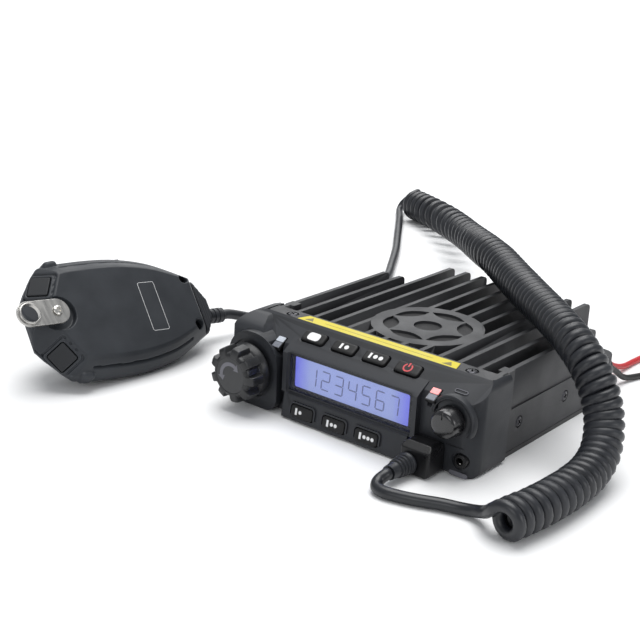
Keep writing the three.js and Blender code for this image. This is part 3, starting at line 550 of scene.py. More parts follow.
LEAD_TO_MIC = [
    (-230, 384.6, 22.5), (-233.6, 389.4, 20.9), (-239.6, 392.6, 17), (-245.4, 393.6, 12.4),
    (-249.4, 392.4, 7.6), (-249, 388.4, 3.9), (-244.6, 381.6, 3.1), (-236.4, 370.6, 3.1),
    (-224, 352.6, 3.1), (-208.2, 329.4, 3.1), (-178.7, 286, 3.1), (-159, 254, 3.1), (-143.6, 228, 3.1),
    (-131.6, 200, 3.1), (-124, 172, 3.1), (-121.6, 146, 3.1), (-124, 123, 3.4), (-130, 102, 5),
    (-135, 85, 7.6)]
COIL_START_ANGLE = 143
COIL_END_ANGLE = 100
# Where along the coil each change starts, and over what share of its length it grows.
COIL_PACKS = (0.06, 0.12)
COIL_SWELLS = (0.25, 0.15)
COIL_OPENS = (0.4, 0.3)
COIL_WIDENS = (0.6, 0.35)
COIL_CLOSES = (1.005, -0.12)
ROUTE_STEP = 0.5
TURN_STEPS = 20
LINE_STEPS = 6
RED_ROUTE = [
    (55.8, 146.5, 14.5), (55.9, 158, 14.2), (56.4, 167, 11.6), (57, 178, 6), (57.3, 190, 2.6),
    (57.4, 204, 1.9), (58.6, 220, 1.9), (62, 236, 1.9), (67, 250, 1.9), (70.4, 262, 2.2),
    (71.6, 272, 3.6), (71.8, 280, 5)]
BLACK_ROUTE = [
    (63.2, 146.5, 14.5), (63.3, 156, 13.6), (64.2, 163.5, 9.4), (66.4, 172, 3.4), (69.4, 182, 1.9),
    (74, 196, 1.9), (78.6, 212, 1.9), (82, 228, 1.9), (83.4, 244, 1.9), (82.6, 258, 2.1), (80.8, 270, 3.6),
    (80.2, 280, 5)]


def smooth_line(points, steps):
    """A centripetal Catmull-Rom line through the points."""
    p = [Vector(q) for q in points]
    p = [2 * p[0] - p[1], *p, 2 * p[-1] - p[-2]]
    line = []
    for a, b, c, d in zip(p, p[1:], p[2:], p[3:]):
        t1 = (b - a).length ** 0.5
        t2 = t1 + (c - b).length ** 0.5
        t3 = t2 + (d - c).length ** 0.5
        for k in range(steps):
            t = t1 + (t2 - t1) * k / steps
            ab = a.lerp(b, t / t1)
            bc = b.lerp(c, (t - t1) / (t2 - t1))
            cd = c.lerp(d, (t - t2) / (t3 - t2))
            abc = ab.lerp(bc, t / t2)
            bcd = bc.lerp(cd, (t - t1) / (t3 - t1))
            line.append(abc.lerp(bcd, (t - t1) / (t2 - t1)))
    line.append(p[-2])
    return line


def evenly(line, step):
    """The line's points a step apart."""
    found, left = [line[0]], step
    for a, b in zip(line, line[1:]):
        span = (b - a).length
        while left <= span:
            found.append(a.lerp(b, left / span))
            left += step
        left -= span
    return found


def ease(x):
    x = min(1.0, max(0.0, x))
    return x * x * (3 - 2 * x)


def grown(share, change):
    start, length = change
    return ease((share - start) / length)


def coil_radius(share):
    return (COIL_TIGHT + (COIL_OVER - COIL_TIGHT) * grown(share, COIL_SWELLS)
            + (COIL_WIDE - COIL_OVER) * grown(share, COIL_WIDENS))


def coil_frames(route):
    """At each point of the route, two directions across it and the turns wound so far."""
    count = len(route)
    up = Vector((0, 0, 1))
    frames, turns = [], [0.0]
    for i in range(count):
        share = i / count
        tangent = (route[min(i + 1, count - 1)] - route[max(i - 1, 0)]).normalized()
        up = (up - tangent * up.dot(tangent)).normalized()
        frames.append((tangent.cross(up), up))
        opening = grown(share, COIL_OPENS) * grown(share, COIL_CLOSES)
        close = COIL_PITCH + (COIL_RISE_PITCH - COIL_PITCH) * grown(share, COIL_PACKS)
        pitch = close * (1 - opening) + COIL_OPEN_PITCH * opening
        turns.append(turns[-1] + ROUTE_STEP / pitch)
    return frames, turns


def coil():
    """The helix along the route. Its turns touch, but stand open behind the radio."""
    route = evenly(smooth_line(COIL_ROUTE, 16), ROUTE_STEP)
    count = len(route)
    frames, turns = coil_frames(route)
    right, above = frames[-1]
    level = Vector((0, 0, 1))
    lean = math.degrees(math.atan2(level.dot(right), level.dot(above)))
    target = (COIL_START_ANGLE - COIL_END_ANGLE + lean) / 360
    whole = round(turns[-1] - target) + target
    points, steps = [], round(whole * TURN_STEPS)
    i = 0
    for k in range(steps + 1):
        turn = k / steps * turns[-1]
        while i < count - 2 and turns[i + 1] <= turn:
            i += 1
        part = (turn - turns[i]) / (turns[i + 1] - turns[i])
        centre = route[i].lerp(route[i + 1], part)
        angle = math.radians(COIL_START_ANGLE) - 2 * math.pi * whole * k / steps
        right, above = frames[i]
        radius = coil_radius(i / count)
        points.append(centre + (right * math.cos(angle) + above * math.sin(angle)) * radius)
    return points


def cord_curve(name, line, radius, material, cad):
    curve = bpy.data.curves.new(name, "CURVE")
    curve.dimensions = "3D"
    curve.bevel_depth = radius * 0.001
    curve.bevel_resolution = 4
    curve.use_fill_caps = True
    spline = curve.splines.new("POLY")
    spline.points.add(len(line) - 1)
    for point, place in zip(spline.points, line):
        point.co = (*(FRAME @ place), 1)
    spline.use_smooth = True
    curve.materials.append(materials[material])
    obj = new_object(name, curve)
    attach(obj, "root")
    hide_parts(*cad)
    return obj


def make_cords():
    to_mm = FRAME.inverted() @ MIC
    gland_run = [to_mm @ Vector((MIC_END + GLAND[2] + ahead, GLAND[0], GLAND[1])) for ahead in (5, 0.3)]
    turns = coil()
    start = smooth_line([*LEAD_FROM_PLUG, turns[0], turns[2]], LINE_STEPS)[:-LINE_STEPS - 1]
    end = smooth_line([turns[-3], turns[-1], *LEAD_TO_MIC, *gland_run], LINE_STEPS)[LINE_STEPS + 1:]
    lead = cord_curve("mic_cord", start + turns + end, CORD_RADIUS, "rubber",
                      ("cord_lead_radio", "cord_coil_table", "cord_coil_rise", "cord_coil_top",
                       "cord_coil_rear", "cord_lead_mic"))
    red = cord_curve("red_wire", smooth_line(RED_ROUTE, LINE_STEPS), WIRE_RADIUS, "red",
                     ("wire_red",))
    black = cord_curve("black_wire", smooth_line(BLACK_ROUTE, LINE_STEPS), WIRE_RADIUS, "black",
                       ("wire_black",))
    return lead, red, black


# ---------------- chassis
FIN_ROUNDING = 1.05
EDGE_SHARE = 0.42               # the other edges' share of the fins' rounding


def weigh_edges(bm):
    """Gives each sharp edge its share of the rounding: fin tops all of it, and none beside a screw."""
    weight = bm.edges.layers.float.new("bevel_weight_edge")
    for edge in bm.edges:
        a, b = (v.co for v in edge.verts)
        if len(edge.link_faces) != 2 or edge.calc_face_angle(0) < math.radians(30):
            continue
        on_side = min(abs(a.x), abs(b.x)) > BODY_HALF - 0.3
        on_top = min(a.z, b.z) > TOP - 0.2
        by_screw = on_top and math.dist((abs(a.x), a.y), TOP_SCREW) < 5
        if by_screw or (on_side and (a - b).length < 2.2):
            continue
        fin_top = on_top and abs(a.x - b.x) < 0.05 and abs(a.y - b.y) > 8
        edge[weight] = 1.0 if fin_top else EDGE_SHARE


def heat_sink():
    """The casting, with thin fins, a slotted boss and a flat front strip, and the cloth below the boss."""
    sink = copy_of("heat_sink")
    bm = bmesh.new()
    bm.from_mesh(sink.data)
    weigh_edges(bm)
    bm.to_mesh(sink.data)
    bm.free()
    change(sink, "BEVEL", width=FIN_ROUNDING, segments=3, limit_method="WEIGHT", use_clamp_overlap=True)
    piece("heat_sink_casting", sink, "cast", cad="heat_sink")
    cloth = turned([(26.9, TOP - 2.4), (26.9, TOP - 1.7), (26.5, TOP - 1.4)], 72)
    piece("speaker_cloth", moved(cloth, at(*BOSS)), "cloth")


def soft_copy(name, node, width, segments, material):
    """A CAD node with its edges rounded."""
    piece(name, rounded(copy_of(node), width, segments), material, cad=node)


def cross_screw(radius, height):
    """A domed head with a cross recess, its top facing +Z."""
    head = body_from(turned([(radius - 0.25, 0), (radius, 0.25), (radius, height * 0.45),
                             (radius * 0.93, height * 0.66), (radius * 0.78, height * 0.84),
                             (radius * 0.5, height * 0.96), (radius * 0.2, height)], 40))
    arm, half, floor = radius * 0.55, radius * 0.13, height * 0.35
    tools = [block(-arm, arm, -half, half, floor, height + 1),
             block(-half, half, -arm, arm, floor, height + 1),
             turned([(radius * 0.12, floor - 0.1), (radius * 0.3, height + 0.4)], 12)]
    return rounded(combine(head, tools), 0.07, 2, 40)


def screw(name, radius, height, place, material="zinc"):
    """A screw's head, which stands for the CAD screw of that name."""
    piece(name + "_head", cross_screw(radius, height), material, place=place, cad=name)


def screws():
    x, y = TOP_SCREW
    for side, word in ((-1, "left"), (1, "right")):
        turn = Matrix.Rotation(0.5 * side, 4, "Z")
        screw(f"top_screw_{word}", 3, 1.7, FRAME @ at(x * side, y, TOP - 1.3) @ turn)
    for side, word in ((-1, "left"), (1, "right")):
        for end, y in SIDE_SCREWS:
            turn = spin(90 * side, "Y") @ Matrix.Rotation(0.4 + y, 4, "Z")
            place = FRAME @ at((BODY_HALF - 1.2) * side, y, SIDE_SCREW_HEIGHT) @ turn
            screw(f"side_screw_{word}_{end}", 2.9, 1.5, place)
    for i, (x, y) in enumerate(BOTTOM_SCREWS):
        turn = spin(180, "X") @ Matrix.Rotation(0.7 * i, 4, "Z")
        screw(f"bottom_screw_{i + 1}", 3, 1.2, FRAME @ at(x, y, 1.45) @ turn)


def label():
    """A plain yellow strip with slanted ends, a thin darker line and two triangles, and no lettering."""
    strip = prism([(-50, 16.2), (50, 16.2), (47.5, 24), (-47.5, 24)], TOP + 0.06, TOP + 0.36, top=0.1)
    piece("label_plate", strip, "label", cad="label_strip")
    low, high = TOP + 0.3, TOP + 0.4
    marks = [block(-34, 34, 19.95, 20.25, low, high)]
    for x in (-43.4, 43.4):
        marks.append(prism([(x - 2.9, 17.8), (x + 2.9, 17.8), (x, 22.3)], low, high))
    piece("label_marks", body_from(*marks), "label_dark")


def rear_sockets():
    thread = []
    for k in range(9):
        z = 4.7 + k * 0.95
        thread += [(5.72, z), (5.72, z + 0.35), (5.45, z + 0.55), (5.45, z + 0.8)]
    shell = cut(turned([(5.8, -5), (5.9, -4.6), (5.9, 1.6), (7.7, 1.6), (7.9, 1.8), (7.9, 3.8), (7.6, 4.1),
                        *thread, (5.5, 13.3), (5.2, 13.5)], 56),
                turned([(4.7, 6.5), (4.7, 14), (4.8, 15)], 48))
    place = behind(ANTENNA_X)
    piece("antenna_shell", shell, "nickel", place=place, cad="antenna_socket")
    core = turned([(4.6, 6.3), (4.6, 11.2), (4.3, 11.5), (2.3, 11.5), (2.2, 12.9), (2.0, 13.2)], 40)
    piece("antenna_core", core, "paper", place=place)
    jack = cut(turned([(2.9, -5), (3, 1.6), (4.5, 1.6), (4.6, 1.8), (4.6, 2.8), (4.4, 3.0)], 40),
               turned([(1.75, -3), (1.75, 2.6), (2.1, 3.4)], 32))
    piece("speaker_jack_ring", jack, "nickel", place=behind(0), cad="speaker_jack")


# ---------------- front panel
def key_outline(grow, half=UPPER_KEY_HALF):
    return round_rect(-7 - grow, 7 + grow, -half - grow, half + grow, 1.6 + grow * 0.6)


def key_rims():
    """A raised rim round each lower key, open at its foot."""
    rims = []
    for x in LOWER_KEY_X:
        rim = cut(prism(key_outline(1.5, LOWER_KEY_HALF), -1.5, 0.9),
                  prism(key_outline(0.45, LOWER_KEY_HALF), -3, 2), block(-12, 12, -9, -2.2, -3, 3))
        rims.append(moved(mesh_of(rim), slope_place(LOWER_FACE, x, LOWER_KEY_SHARE)))
    piece("bezel_key_rims", rounded(body_from(*rims), 0.25, 2, 50), "bezel")


def knob_hood():
    """A raised hood round the upper right of the volume knob."""
    hood = cut(turned([(12.6, -2), (12.6, 0.6), (12.2, 1.3), (11.4, 1.5), (11.0, 1.2)], 72),
               turned([(10.4, -3), (10.4, 4)], 60), block(-14, -1, -14, 1, -4, 4),
               block(-14, 14, -14, -6, -4, 4))
    piece("bezel_knob_hood", rounded(hood, 0.2, 2, 50), "bezel",
          place=in_front(VOLUME_KNOB[0], BEZEL_FLOOR, VOLUME_KNOB[1]))


def bezel_moulding():
    """The CAD's front with a stepped display opening, dished key holes, a parting line and a jack seat."""
    bezel = copy_of("front_bezel")
    x0, x1, z0, z1 = DISPLAY
    window = loft([[(x, z, -y) for x, z in round_rect(x0 - d, x1 + d, z0 - d, z1 + d * 0.7, 1.4)]
                   for d, y in ((1.8, -1.9), (2.4, -2.6), (3.2, -4.2))])
    tools = [moved(window, FORWARD)]
    for x in UPPER_KEY_X:
        dish = loft([[(u, v, z) for u, v in key_outline(d)]
                     for d, z in ((0.3, -0.9), (0.6, -0.25), (1.7, 0.5))])
        tools.append(moved(dish, slope_place(UPPER_SLOPE, x, UPPER_KEY_SHARE)))
    tools.append(block(57.6, 74, -1.0, 1.2, 15.2, 15.8))
    seat = turned([(4.6, 0), (5.0, 1.5)], 40)
    tools.append(moved(seat, at(DATA_JACK[0], 1.0, DATA_JACK[1]) @ FORWARD))
    combine(bezel, tools)
    piece("bezel_moulding", rounded(bezel, 0.7, 3, 30), "bezel",
          cad="front_bezel")


def bezel_prints():
    """An empty outline above the volume knob and a plain pill below the data jack."""
    mark = cut(prism(round_rect(-3.6, 3.6, -1.1, 1.1, 1.0), -0.3, 0.1),
               prism(round_rect(-3.3, 3.3, -0.8, 0.8, 0.75), -1, 1))
    piece("volume_mark", mark, "print_grey",
          place=FRAME @ slope_place(UPPER_SLOPE, VOLUME_KNOB[0], 0.42))
    pill = prism(round_rect(-5.2, 5.2, -1.2, 1.2, 1.15), -0.2, 0.12, top=0.08)
    piece("data_pill", moved(pill, at(65.8, 0.55, 1.95) @ FORWARD), "print_grey")


# Each bar of a digit: its lower left end, in bar lengths, and if it lies level.
SEGMENTS = {"a": (0, 2, True), "b": (1, 1, False), "c": (1, 0, False), "d": (0, 0, True),
            "e": (0, 0, False), "f": (0, 1, False), "g": (0, 1, True)}
DIGITS = {"1": "bc", "2": "abged", "3": "abgcd", "4": "fgbc", "5": "afgcd", "6": "afgedc", "7": "abc"}
READOUT = "1234567"
READOUT_LEFT = -28.6
READOUT_RISE = 4.2            # above the display's lower edge
DIGIT_PITCH = 8.6
DIGIT_SIZE = (5.0, 4.9)       # width, and the height of each half
DIGIT_SLANT = 0.06


def digit_bar(left, low, level):
    width, half = DIGIT_SIZE
    if level:
        points = [(left + 0.5, low - 0.3), (left + width - 0.5, low - 0.3), (left + width - 0.2, low),
                  (left + width - 0.5, low + 0.3), (left + 0.5, low + 0.3), (left + 0.2, low)]
    else:
        lean = half * DIGIT_SLANT
        points = [(left - 0.3, low + 0.5), (left, low + 0.2), (left + 0.3, low + 0.5),
                  (left + 0.3 + lean, low + half - 0.5), (left + lean, low + half - 0.2),
                  (left - 0.3 + lean, low + half - 0.5)]
    return front_prism(points, -0.3, -0.2)


def display():
    """The lens, the lit panel behind it with a dark mask, and a row of plain segment digits."""
    x0, x1, z0, z1 = DISPLAY
    lens = front_prism(round_rect(x0 - 1.4, x1 + 1.4, z0 - 0.8, z1 - 0.2, 1.2), -2.35, -0.7, top=0.3)
    piece("display_window", lens, "clear", cad="display_lens")
    panel = front_prism(round_rect(x0 - 1.3, x1 + 1.3, z0 - 0.7, z1 - 0.3, 0.8), -0.1, 5.3)
    piece("display_panel", panel, "glow", cad="display_module")
    mask = cut(front_prism(round_rect(x0 - 1.5, x1 + 1.5, z0 - 0.9, z1 - 0.1, 1.0), -0.5, -0.15),
               front_prism(round_rect(x0 + 0.5, x1 - 0.4, z0 + 0.9, z1 - 0.9, 0.9), -1, 1))
    piece("display_mask", mask, "mask")
    bars = []
    for k, digit in enumerate(READOUT):
        for name in DIGITS[digit]:
            u, v, level = SEGMENTS[name]
            low = z0 + READOUT_RISE + v * DIGIT_SIZE[1]
            left = READOUT_LEFT + k * DIGIT_PITCH + u * DIGIT_SIZE[0] + low * DIGIT_SLANT
            bars.append(digit_bar(left, low, level))
    piece("display_digits", body_from(*bars), "digit")


def indicators():
    for side, word, tint in ((-1, "left", "lamp_white"), (1, "right", "lamp_red")):
        place = FRAME @ slope_place(UPPER_SLOPE, INDICATOR_X * side, 0.1)
        frame_body = prism(round_rect(-2.7, 2.7, -3.9, 3.9, 0.5), -2.2, -0.15)
        piece(f"indicator_{word}_base", frame_body, "mask", place=place,
              cad=f"indicator_{word}")
        upper = prism(round_rect(-2.35, 2.35, 0.25, 3.6, 0.4), -1, 0.2, top=0.15)
        lower = prism(round_rect(-2.35, 2.35, -3.6, -0.15, 0.4), -1, 0.12, top=0.15)
        piece(f"indicator_{word}_upper", upper, tint, place=place)
        piece(f"indicator_{word}_lower", lower, "lamp_grey", place=place)


def key(name, x, face, share, depth, half, marks, tint):
    place = FRAME @ slope_place(face, x, share)
    cap = prism(key_outline(0, half), -depth, 1.12, top=0.55, crown=0.16)
    piece(name + "_cap", cap, "key", body=name, place=place, cad=name)
    for mark in marks:
        moved(mark, Matrix.Diagonal((KEY_MARK_SCALE, KEY_MARK_SCALE, 1, 1)))
    piece(name + "_mark", body_from(*marks), tint, body=name, place=place)


def ring_part(radius, width, start, end, low, high, steps=24):
    """Part of a flat ring, its angles in degrees."""
    outer = arc(0, 0, radius + width / 2, start, end, steps)
    inner = arc(0, 0, radius - width / 2, end, start, steps)
    return prism(outer + inner, low, high)


INK = (1.1, 1.29)               # the marks' lower and upper face


def bar_and_dots(left, half, radius, places):
    dots = [prism(arc(x, 0, radius, 0, 360, 20)[:-1], *INK) for x in places]
    return [block(left, left + 1, -half, half, *INK), *dots]


def keys():
    """Rubber keys with plain printed marks: a badge, bars and dots, and the usual power symbol."""
    badge = [prism(round_rect(-2.9, 2.9, -1.9, 1.9, 1.4), *INK, top=0.06)]
    power = [ring_part(1.75, 0.62, 125, 415, *INK), block(-0.34, 0.34, 0.4, 2.3, *INK)]
    upper = (("key_function", badge, "print_white"),
             ("key_upper_2", bar_and_dots(-1.9, 1.3, 1.0, [1.2]), "print_white"),
             ("key_upper_3", bar_and_dots(-2.9, 1.3, 0.95, [0, 2.5]), "print_white"),
             ("key_power", power, "print_red"))
    for x, (name, marks, tint) in zip(UPPER_KEY_X, upper):
        key(name, x, UPPER_SLOPE, UPPER_KEY_SHARE, 2.4, UPPER_KEY_HALF, marks, tint)
    for i, x in enumerate(LOWER_KEY_X):
        marks = bar_and_dots(-3.1, 1.35, 0.75, [-0.6 + 1.9 * k for k in range(i + 1)])
        key(f"key_lower_{i + 1}", x, LOWER_FACE, LOWER_KEY_SHARE, 4.2, LOWER_KEY_HALF, marks,
            "print_white")


KNOB_PROFILE = [        # height, radius, and the lobes' share of LOBE_DEPTH
    (0, 13.6, 0), (0.3, 14.0, 0), (0.9, 14.5, 0), (1.6, 14.5, 0), (3.2, 14.0, 0), (4.6, 13.5, 0),
    (5.1, 12.9, 0.1), (5.5, 12.5, 0.7), (6.0, 12.4, 1), (9, 12.3, 1), (12, 12.2, 1), (13.6, 12.0, 1),
    (14.3, 11.6, 0.9), (14.75, 11.0, 0.8), (14.95, 10.4, 0.5), (15.0, 9.9, 0.1)]
KNOB_LOBES = 9
LOBE_DEPTH = 2.8
KNOB_STEPS = 216
ARROW_RADIUS = 6.2
ARROW_ENDS = ((58, -1), (190, 1))       # the angle of each end, and which way its head points


def main_knob():
    """A round skirt, nine soft lobes round the grip, and a flat face with a printed curved arrow."""
    rings = []
    for depth, radius, lobed in KNOB_PROFILE:
        points = []
        for i in range(KNOB_STEPS):
            turn = 2 * math.pi * i / KNOB_STEPS
            r = radius + LOBE_DEPTH * ease((math.cos(KNOB_LOBES * turn) + 0.42) / 0.62) * lobed
            points.append((r * math.cos(turn), r * math.sin(turn), depth))
        rings.append(points)
    rings += [ring(radius, depth, KNOB_STEPS) for radius, depth in ((9.6, 14.75), (9.3, 14.7), (5, 14.72))]
    place = in_front(MAIN_KNOB[0], MAIN_KNOB_BACK, MAIN_KNOB[1])
    shaft = turned([(3, -12.4), (3, 0.5)], 32)
    piece("main_knob_grip", body_from(loft(rings), shaft), "knob", body="main_knob",
          place=place, cad="main_knob")
    face = turned([(9.5, 14.5), (9.5, 14.76), (9.2, 14.86)], 90)
    piece("main_knob_face", face, "face", body="main_knob", place=place)
    low, high = 14.75, 14.98
    arrow = [ring_part(ARROW_RADIUS, 2.0, ARROW_ENDS[0][0], ARROW_ENDS[1][0], low, high, 30)]
    for angle, way in ARROW_ENDS:
        a = math.radians(angle)
        tip = math.radians(angle + way * 27)
        head = [(r * math.cos(t), r * math.sin(t)) for r, t in ((3.9, a), (8.6, a), (ARROW_RADIUS, tip))]
        arrow.append(prism(ordered(head), low, high))
    piece("main_knob_arrow", body_from(*arrow), "print_grey", body="main_knob",
          place=place)


def volume_knob():
    cap = body_from(turned([(7.3, 1.0), (7.7, 1.15), (7.8, 1.5), (7.75, 2.3), (7.1, 7.4), (6.85, 8.4),
                            (6.4, 9.1), (5.6, 9.55), (4.4, 9.8), (2.2, 9.9)], 96))
    combine(cap, [block(-0.35, 0.35, 3.0, 6.2, 9.3, 11)])
    shaft = turned([(2.8, -8.3), (2.8, 1.3)], 32)
    combine(cap, [shaft], "UNION")
    piece("volume_knob_cap", rounded(cap, 0.08, 2, 50), "gloss", body="volume_knob",
          place=in_front(VOLUME_KNOB[0], BEZEL_FLOOR, VOLUME_KNOB[1]), cad="volume_knob")


def front_sockets():
    jack = cut(turned([(3.4, -8), (3.6, -7.8), (3.6, 0.3), (3.4, 0.6), (2.9, 0.8), (2.3, 0.75)], 56),
               turned([(1.75, -6.5), (1.75, 0.2), (2.1, 1.2)], 40))
    place = in_front(DATA_JACK[0], 0.5, DATA_JACK[1])
    piece("data_jack_ring", jack, "plug", place=place, cad="data_jack")
    spring = block(-0.5, 0.5, -1.5, -1.1, -4, 0)
    piece("data_jack_contact", spring, "nickel", place=place)


# ---------------- cord ends
def cord_plug():
    """The modular plug, with a sloped back and a groove, and its ribbed sleeve."""
    left, right = PLUG_X - PLUG_HALF, PLUG_X + PLUG_HALF
    shell = front_prism(round_rect(left, right, 0.4, PLUG_TOP, 2.4), -13.5, -0.7, top=1.2, bottom=0.4)
    plug = body_from(shell, block(PLUG_X - 4.5, PLUG_X + 4.5, -1.6, 6.9, 4.9, 11.1))
    for outline in ([(-14, 13.4), (-9.2, 16.6), (-14, 17.4)],
                    [(-8.6, 16.0), (-7.9, 16.0), (-7.9, 17), (-8.6, 17)]):
        combine(plug, [side_prism(outline, PLUG_X - 9, PLUG_X + 9)])
    piece("cord_plug_shell", moulded(plug, 0.3), "plug", cad="cord_plug", sharp=60)
    ribs = []
    for k in range(4):
        z = 2.2 + k * 2.1
        r = 5.3 - k * 0.25
        ribs += [(r, z), (r + 0.1, z + 0.4), (r, z + 0.9), (r - 0.75, z + 1.2), (r - 0.8, z + 1.8)]
    sleeve = turned([(5.3, 0), (5.5, 0.3), (5.5, 1.4), (5.1, 1.9), *ribs, (4.1, 10.8), (3.75, 12.5),
                     (3.6, 15.2)], 56)
    piece("cord_plug_sleeve", sleeve, "rubber", place=in_front(46.5, -13.9, 6.4),
          cad="cord_plug_boot")


# ---------------- microphone
MIC_SIDE = [(-54, 34.8), (-44, 35.4), (-28, 35.8), (-12, 35), (8, 30.8), (24, 23.8), (34, 18.4)]
MIC_CLIP_SIDE = [(-76, 14), (-72, 20), (-64.5, 29), (-60, 33.4)]
MIC_CENTRE = -20


def mic_outline():
    """The near half of the microphone's plan, with its long side a smooth curve."""
    side = [(p.x, p.y) for p in smooth_line([(x, y, 0) for x, y in MIC_SIDE], 6)]
    return MIC_CLIP_SIDE + side


def mic_ring(scale_x, scale_y, z):
    half = [(MIC_CENTRE + (x - MIC_CENTRE) * scale_x, y * scale_y) for x, y in mic_outline()]
    return [(x, -y, z) for x, y in half[::-1]] + [(x, y, z) for x, y in half]


def corner(side):
    """The place of the clipped corner, face up, that holds a key."""
    return at(-64.2, side * 20.9, -6.9) @ spin(61 * side, "Z") @ spin(-42.5 * side, "X")


def case_rail():
    """The groove along both long sides of the back shell, as a tool that cuts it."""
    return mesh_of(cut(loft([mic_ring(1.2, 1.2, -5.0), mic_ring(1.2, 1.2, -3.6)]),
                       loft([mic_ring(0.925, 0.82, -6), mic_ring(0.905, 0.775, -3)]),
                       block(-90, -50, -60, 60, -9, 0), block(20, 60, -60, 60, -9, 0)))


def corner_tools(side):
    """What is cut at one side of the back shell: a screw pit, a key's pit and a line round the key."""
    x, y = MIC_SCREW
    pit = turned([(2.8, -6.2), (2.8, -0.6), (3.3, 0.2), (3.4, 4)], 40)
    seat = prism(round_rect(-6.15, 6.15, -6.15, 5.95, 1.2), -8, 3)
    line = cut(prism(round_rect(-8.7, 8.7, -8.7, 8.5, 1.8), -0.9, 2),
               prism(round_rect(-7.6, 7.6, -7.6, 7.4, 1.5), -3, 4))
    return [moved(pit, at(x, y * side)), moved(seat, corner(side)), moved(mesh_of(line), corner(side))]


def mic_back_case():
    """The half that faces up, with clipped corners, screw pits, a clip seat and a groove."""
    back = body_from(loft([mic_ring(*row) for row in (
        (1, 1, -12.3), (0.997, 0.993, -10), (0.985, 0.97, -8), (0.93, 0.84, -3), (0.905, 0.775, -1.1),
        (0.88, 0.72, 0))]))
    tools = [moved(block(-30, 30, -30, 30, 0, 30), corner(side)) for side in (1, -1)]
    tools.append(loft([mic_ring(0.93, 0.91, -13.6), mic_ring(0.80, 0.62, -4)]))
    tools.append(moved(turned([(9.2, -3.4), (9.7, -0.6), (10.5, 4)], 64), at(-61.2, 1.8)))
    combine(back, [*tools, *corner_tools(1), *corner_tools(-1), case_rail()])
    bumps = [moved(prism(round_rect(-4.2, 4.2, -2.4, 2.4, 2.2), -12.3, -5, top=2.2),
                   at(-53.2, 33.2 * side) @ Matrix.Rotation(0.1 * side, 4, "Z")) for side in (1, -1)]
    combine(back, bumps, "UNION")
    piece("mic_case_back", moulded(back, 0.45), "mic", place=MIC,
          cad="mic_back_shell", sharp=60)


def mic_front_case():
    """The half that lies below, with slots for the sound and an opening for the talk bar."""
    front = body_from(loft([mic_ring(*row) for row in (
        (0.78, 0.47, -32.4), (0.82, 0.55, -30.4), (0.9, 0.74, -22.6), (0.975, 0.93, -15.5),
        (1, 1, -12.6))]))
    bar = side_prism([(22.1, -21.95), (31.85, -21.95), (36.75, -17.6), (36.75, -12.95), (22.1, -12.95)],
                     -46.35, -3.65)
    slots = [block(x, x + 1.4, -9 + abs(k) * 1.2, 9 - abs(k) * 1.2, -34, -31.2)
             for k, x in ((k, -40.7 + k * 3.4) for k in range(-3, 4))]
    combine(front, [loft([mic_ring(0.76, 0.42, -29.4), mic_ring(0.93, 0.9, -11.6)]), bar, *slots])
    piece("mic_case_front", moulded(front, 0.45, 4), "mic", place=MIC,
          cad="mic_front_shell", sharp=60)


def mic_controls():
    for side, name in ((1, "mic_key_up"), (-1, "mic_key_down")):
        pad = prism(round_rect(-5.75, 5.75, -5.75, 5.55, 1.0), -1.6, 0.55, top=0.35, crown=0.08)
        piece(name + "_pad", pad, "pad", body=name, place=MIC @ corner(side),
              cad=name)
    outline = [(24, -21.6), (31.5, -21.6), (36.4, -17.6), (36.4, -13.3), (24, -13.3)]
    bar = body_from(side_prism(outline, -46, -4, top=0.8, bottom=0.8))
    combine(bar, [block(x, x + 0.8, 34.9, 38, -18.2, -13) for x in (-34 + 2.4 * k for k in range(8))])
    piece("mic_talk_bar_rubber", rounded(bar, 0.2, 2, 40), "pad", body="mic_talk_bar",
          place=MIC, cad="mic_talk_bar")


def clip():
    """A flat steel plate with a raised rim round its open eye, on a short foot, and its screw."""
    outline = arc(0, 0, CLIP_HALF, -88, 88, 24) + arc(-CLIP_REACH, 0, CLIP_HALF, 94, 266, 28)
    plate = body_from(prism(outline, 1.4, 3.1, top=0.3, bottom=0.25))
    foot = turned([(5.4, -0.9), (5.4, 1.6)], 40)
    rim = turned([(6.2, 2), (6.25, 3.7), (6.1, 4.05), (5.8, 4.2), (5.4, 4.2)], 56)
    combine(plate, [foot, moved(rim, at(-CLIP_REACH, 0))], "UNION")
    combine(plate, [moved(turned([(5.3, 0), (5.15, 3.8), (5.4, 5)], 56), at(-CLIP_REACH, 0))])
    place = MIC @ at(*CLIP_SCREW)
    piece("mic_clip_plate", rounded(plate, 0.12, 2, 40), "steel", place=place,
          cad="mic_clip")
    screw("mic_clip_screw", 2.8, 1.3, place @ at(0, 0, 3.45) @ Matrix.Rotation(0.6, 4, "Z"), "nickel")


def case_screws():
    x, y = MIC_SCREW
    for i, side in ((1, -1), (2, 1)):
        screw(f"mic_shell_screw_{i}", 2.4, 1.4, MIC @ at(x, y * side, -5.9))


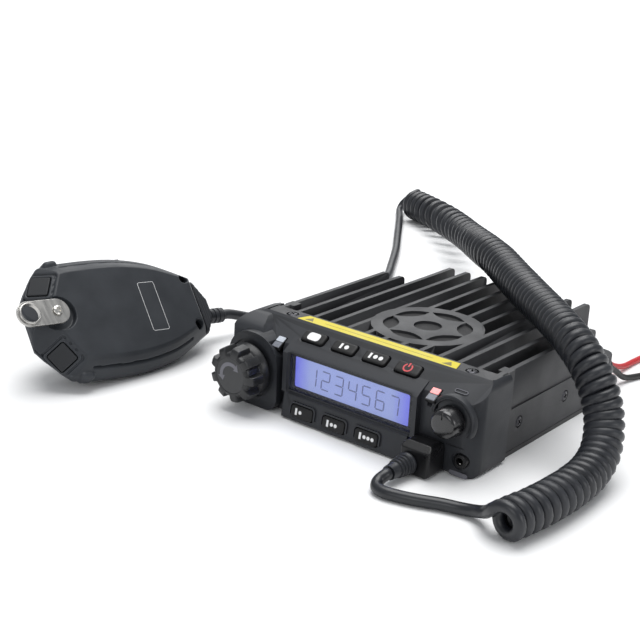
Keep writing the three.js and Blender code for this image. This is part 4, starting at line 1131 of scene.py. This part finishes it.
def gland():
    ribs = []
    for i in range(4):
        x = MIC_END - 1.6 + i * 2.4
        half, tall = 16.8 - i * 2.7, 8.9 - i * 1.1
        rib = round_rect(-half - 1.5, half - 1.5, -tall - 15, tall - 15, 3)
        core = round_rect(-half - 0.3, half - 2.7, -tall - 14, tall - 16, 2.5)
        ribs += [side_prism(rib, x, x + 1.6, top=0.4, bottom=0.3), side_prism(core, x + 1.3, x + 2.8)]
    grooves = []
    for k in range(4):
        z = 2 + k * 3.2
        grooves += [(4.55, z), (4.55, z + 1.9), (4.0, z + 2.2), (4.0, z + 2.9)]
    stub = turned([(4.6, 0), *grooves, (4.4, 15), (3.9, 15.6)], 48)
    place = at(MIC_END + 5.3, GLAND[0], GLAND[1]) @ spin(90, "Y")
    piece("mic_cord_sleeve", body_from(*ribs, moved(stub, place)), "rubber", place=MIC,
          cad="mic_cord_gland")


def label_frame():
    """The thin printed outline on the microphone's back, left empty."""
    outer = round_rect(-7.5, 3.4, -15.5, 14.5, 1.2)
    edge = cut(prism(outer, -0.2, 0.06), prism(inset(outer, 0.2), -1, 1))
    piece("mic_outline_print", edge, "print_white", place=MIC)


def inner_pieces():
    """CAD nodes that stay as they are, with a finish of their own."""
    finishes = {"front_board": "board", "main_board": "board", "mic_board": "board",
                "main_encoder": "metal", "volume_control": "metal", "mic_capsule": "metal",
                "loudspeaker": "paper", "microphone_socket": "plug"}
    for name, material in finishes.items():
        mesh = nodes[name].data
        mesh.materials.clear()
        mesh.materials.append(materials[material])


# ---------------- the scene
make_camera()
make_studio()
mic_cord, red_wire, black_wire = make_cords()
heat_sink()
soft_copy("bottom_plate", "bottom_cover", 0.4, 2, "cover")
screws()
label()
rear_sockets()
key_rims()
knob_hood()
bezel_moulding()
bezel_prints()
display()
indicators()
keys()
main_knob()
volume_knob()
front_sockets()
cord_plug()
soft_copy("power_plug", "power_connector", 0.5, 3, "plug")
soft_copy("power_grommet_rubber", "power_grommet", 0.35, 2, "rubber")
mic_back_case()
mic_front_case()
mic_controls()
clip()
case_screws()
gland()
label_frame()
inner_pieces()
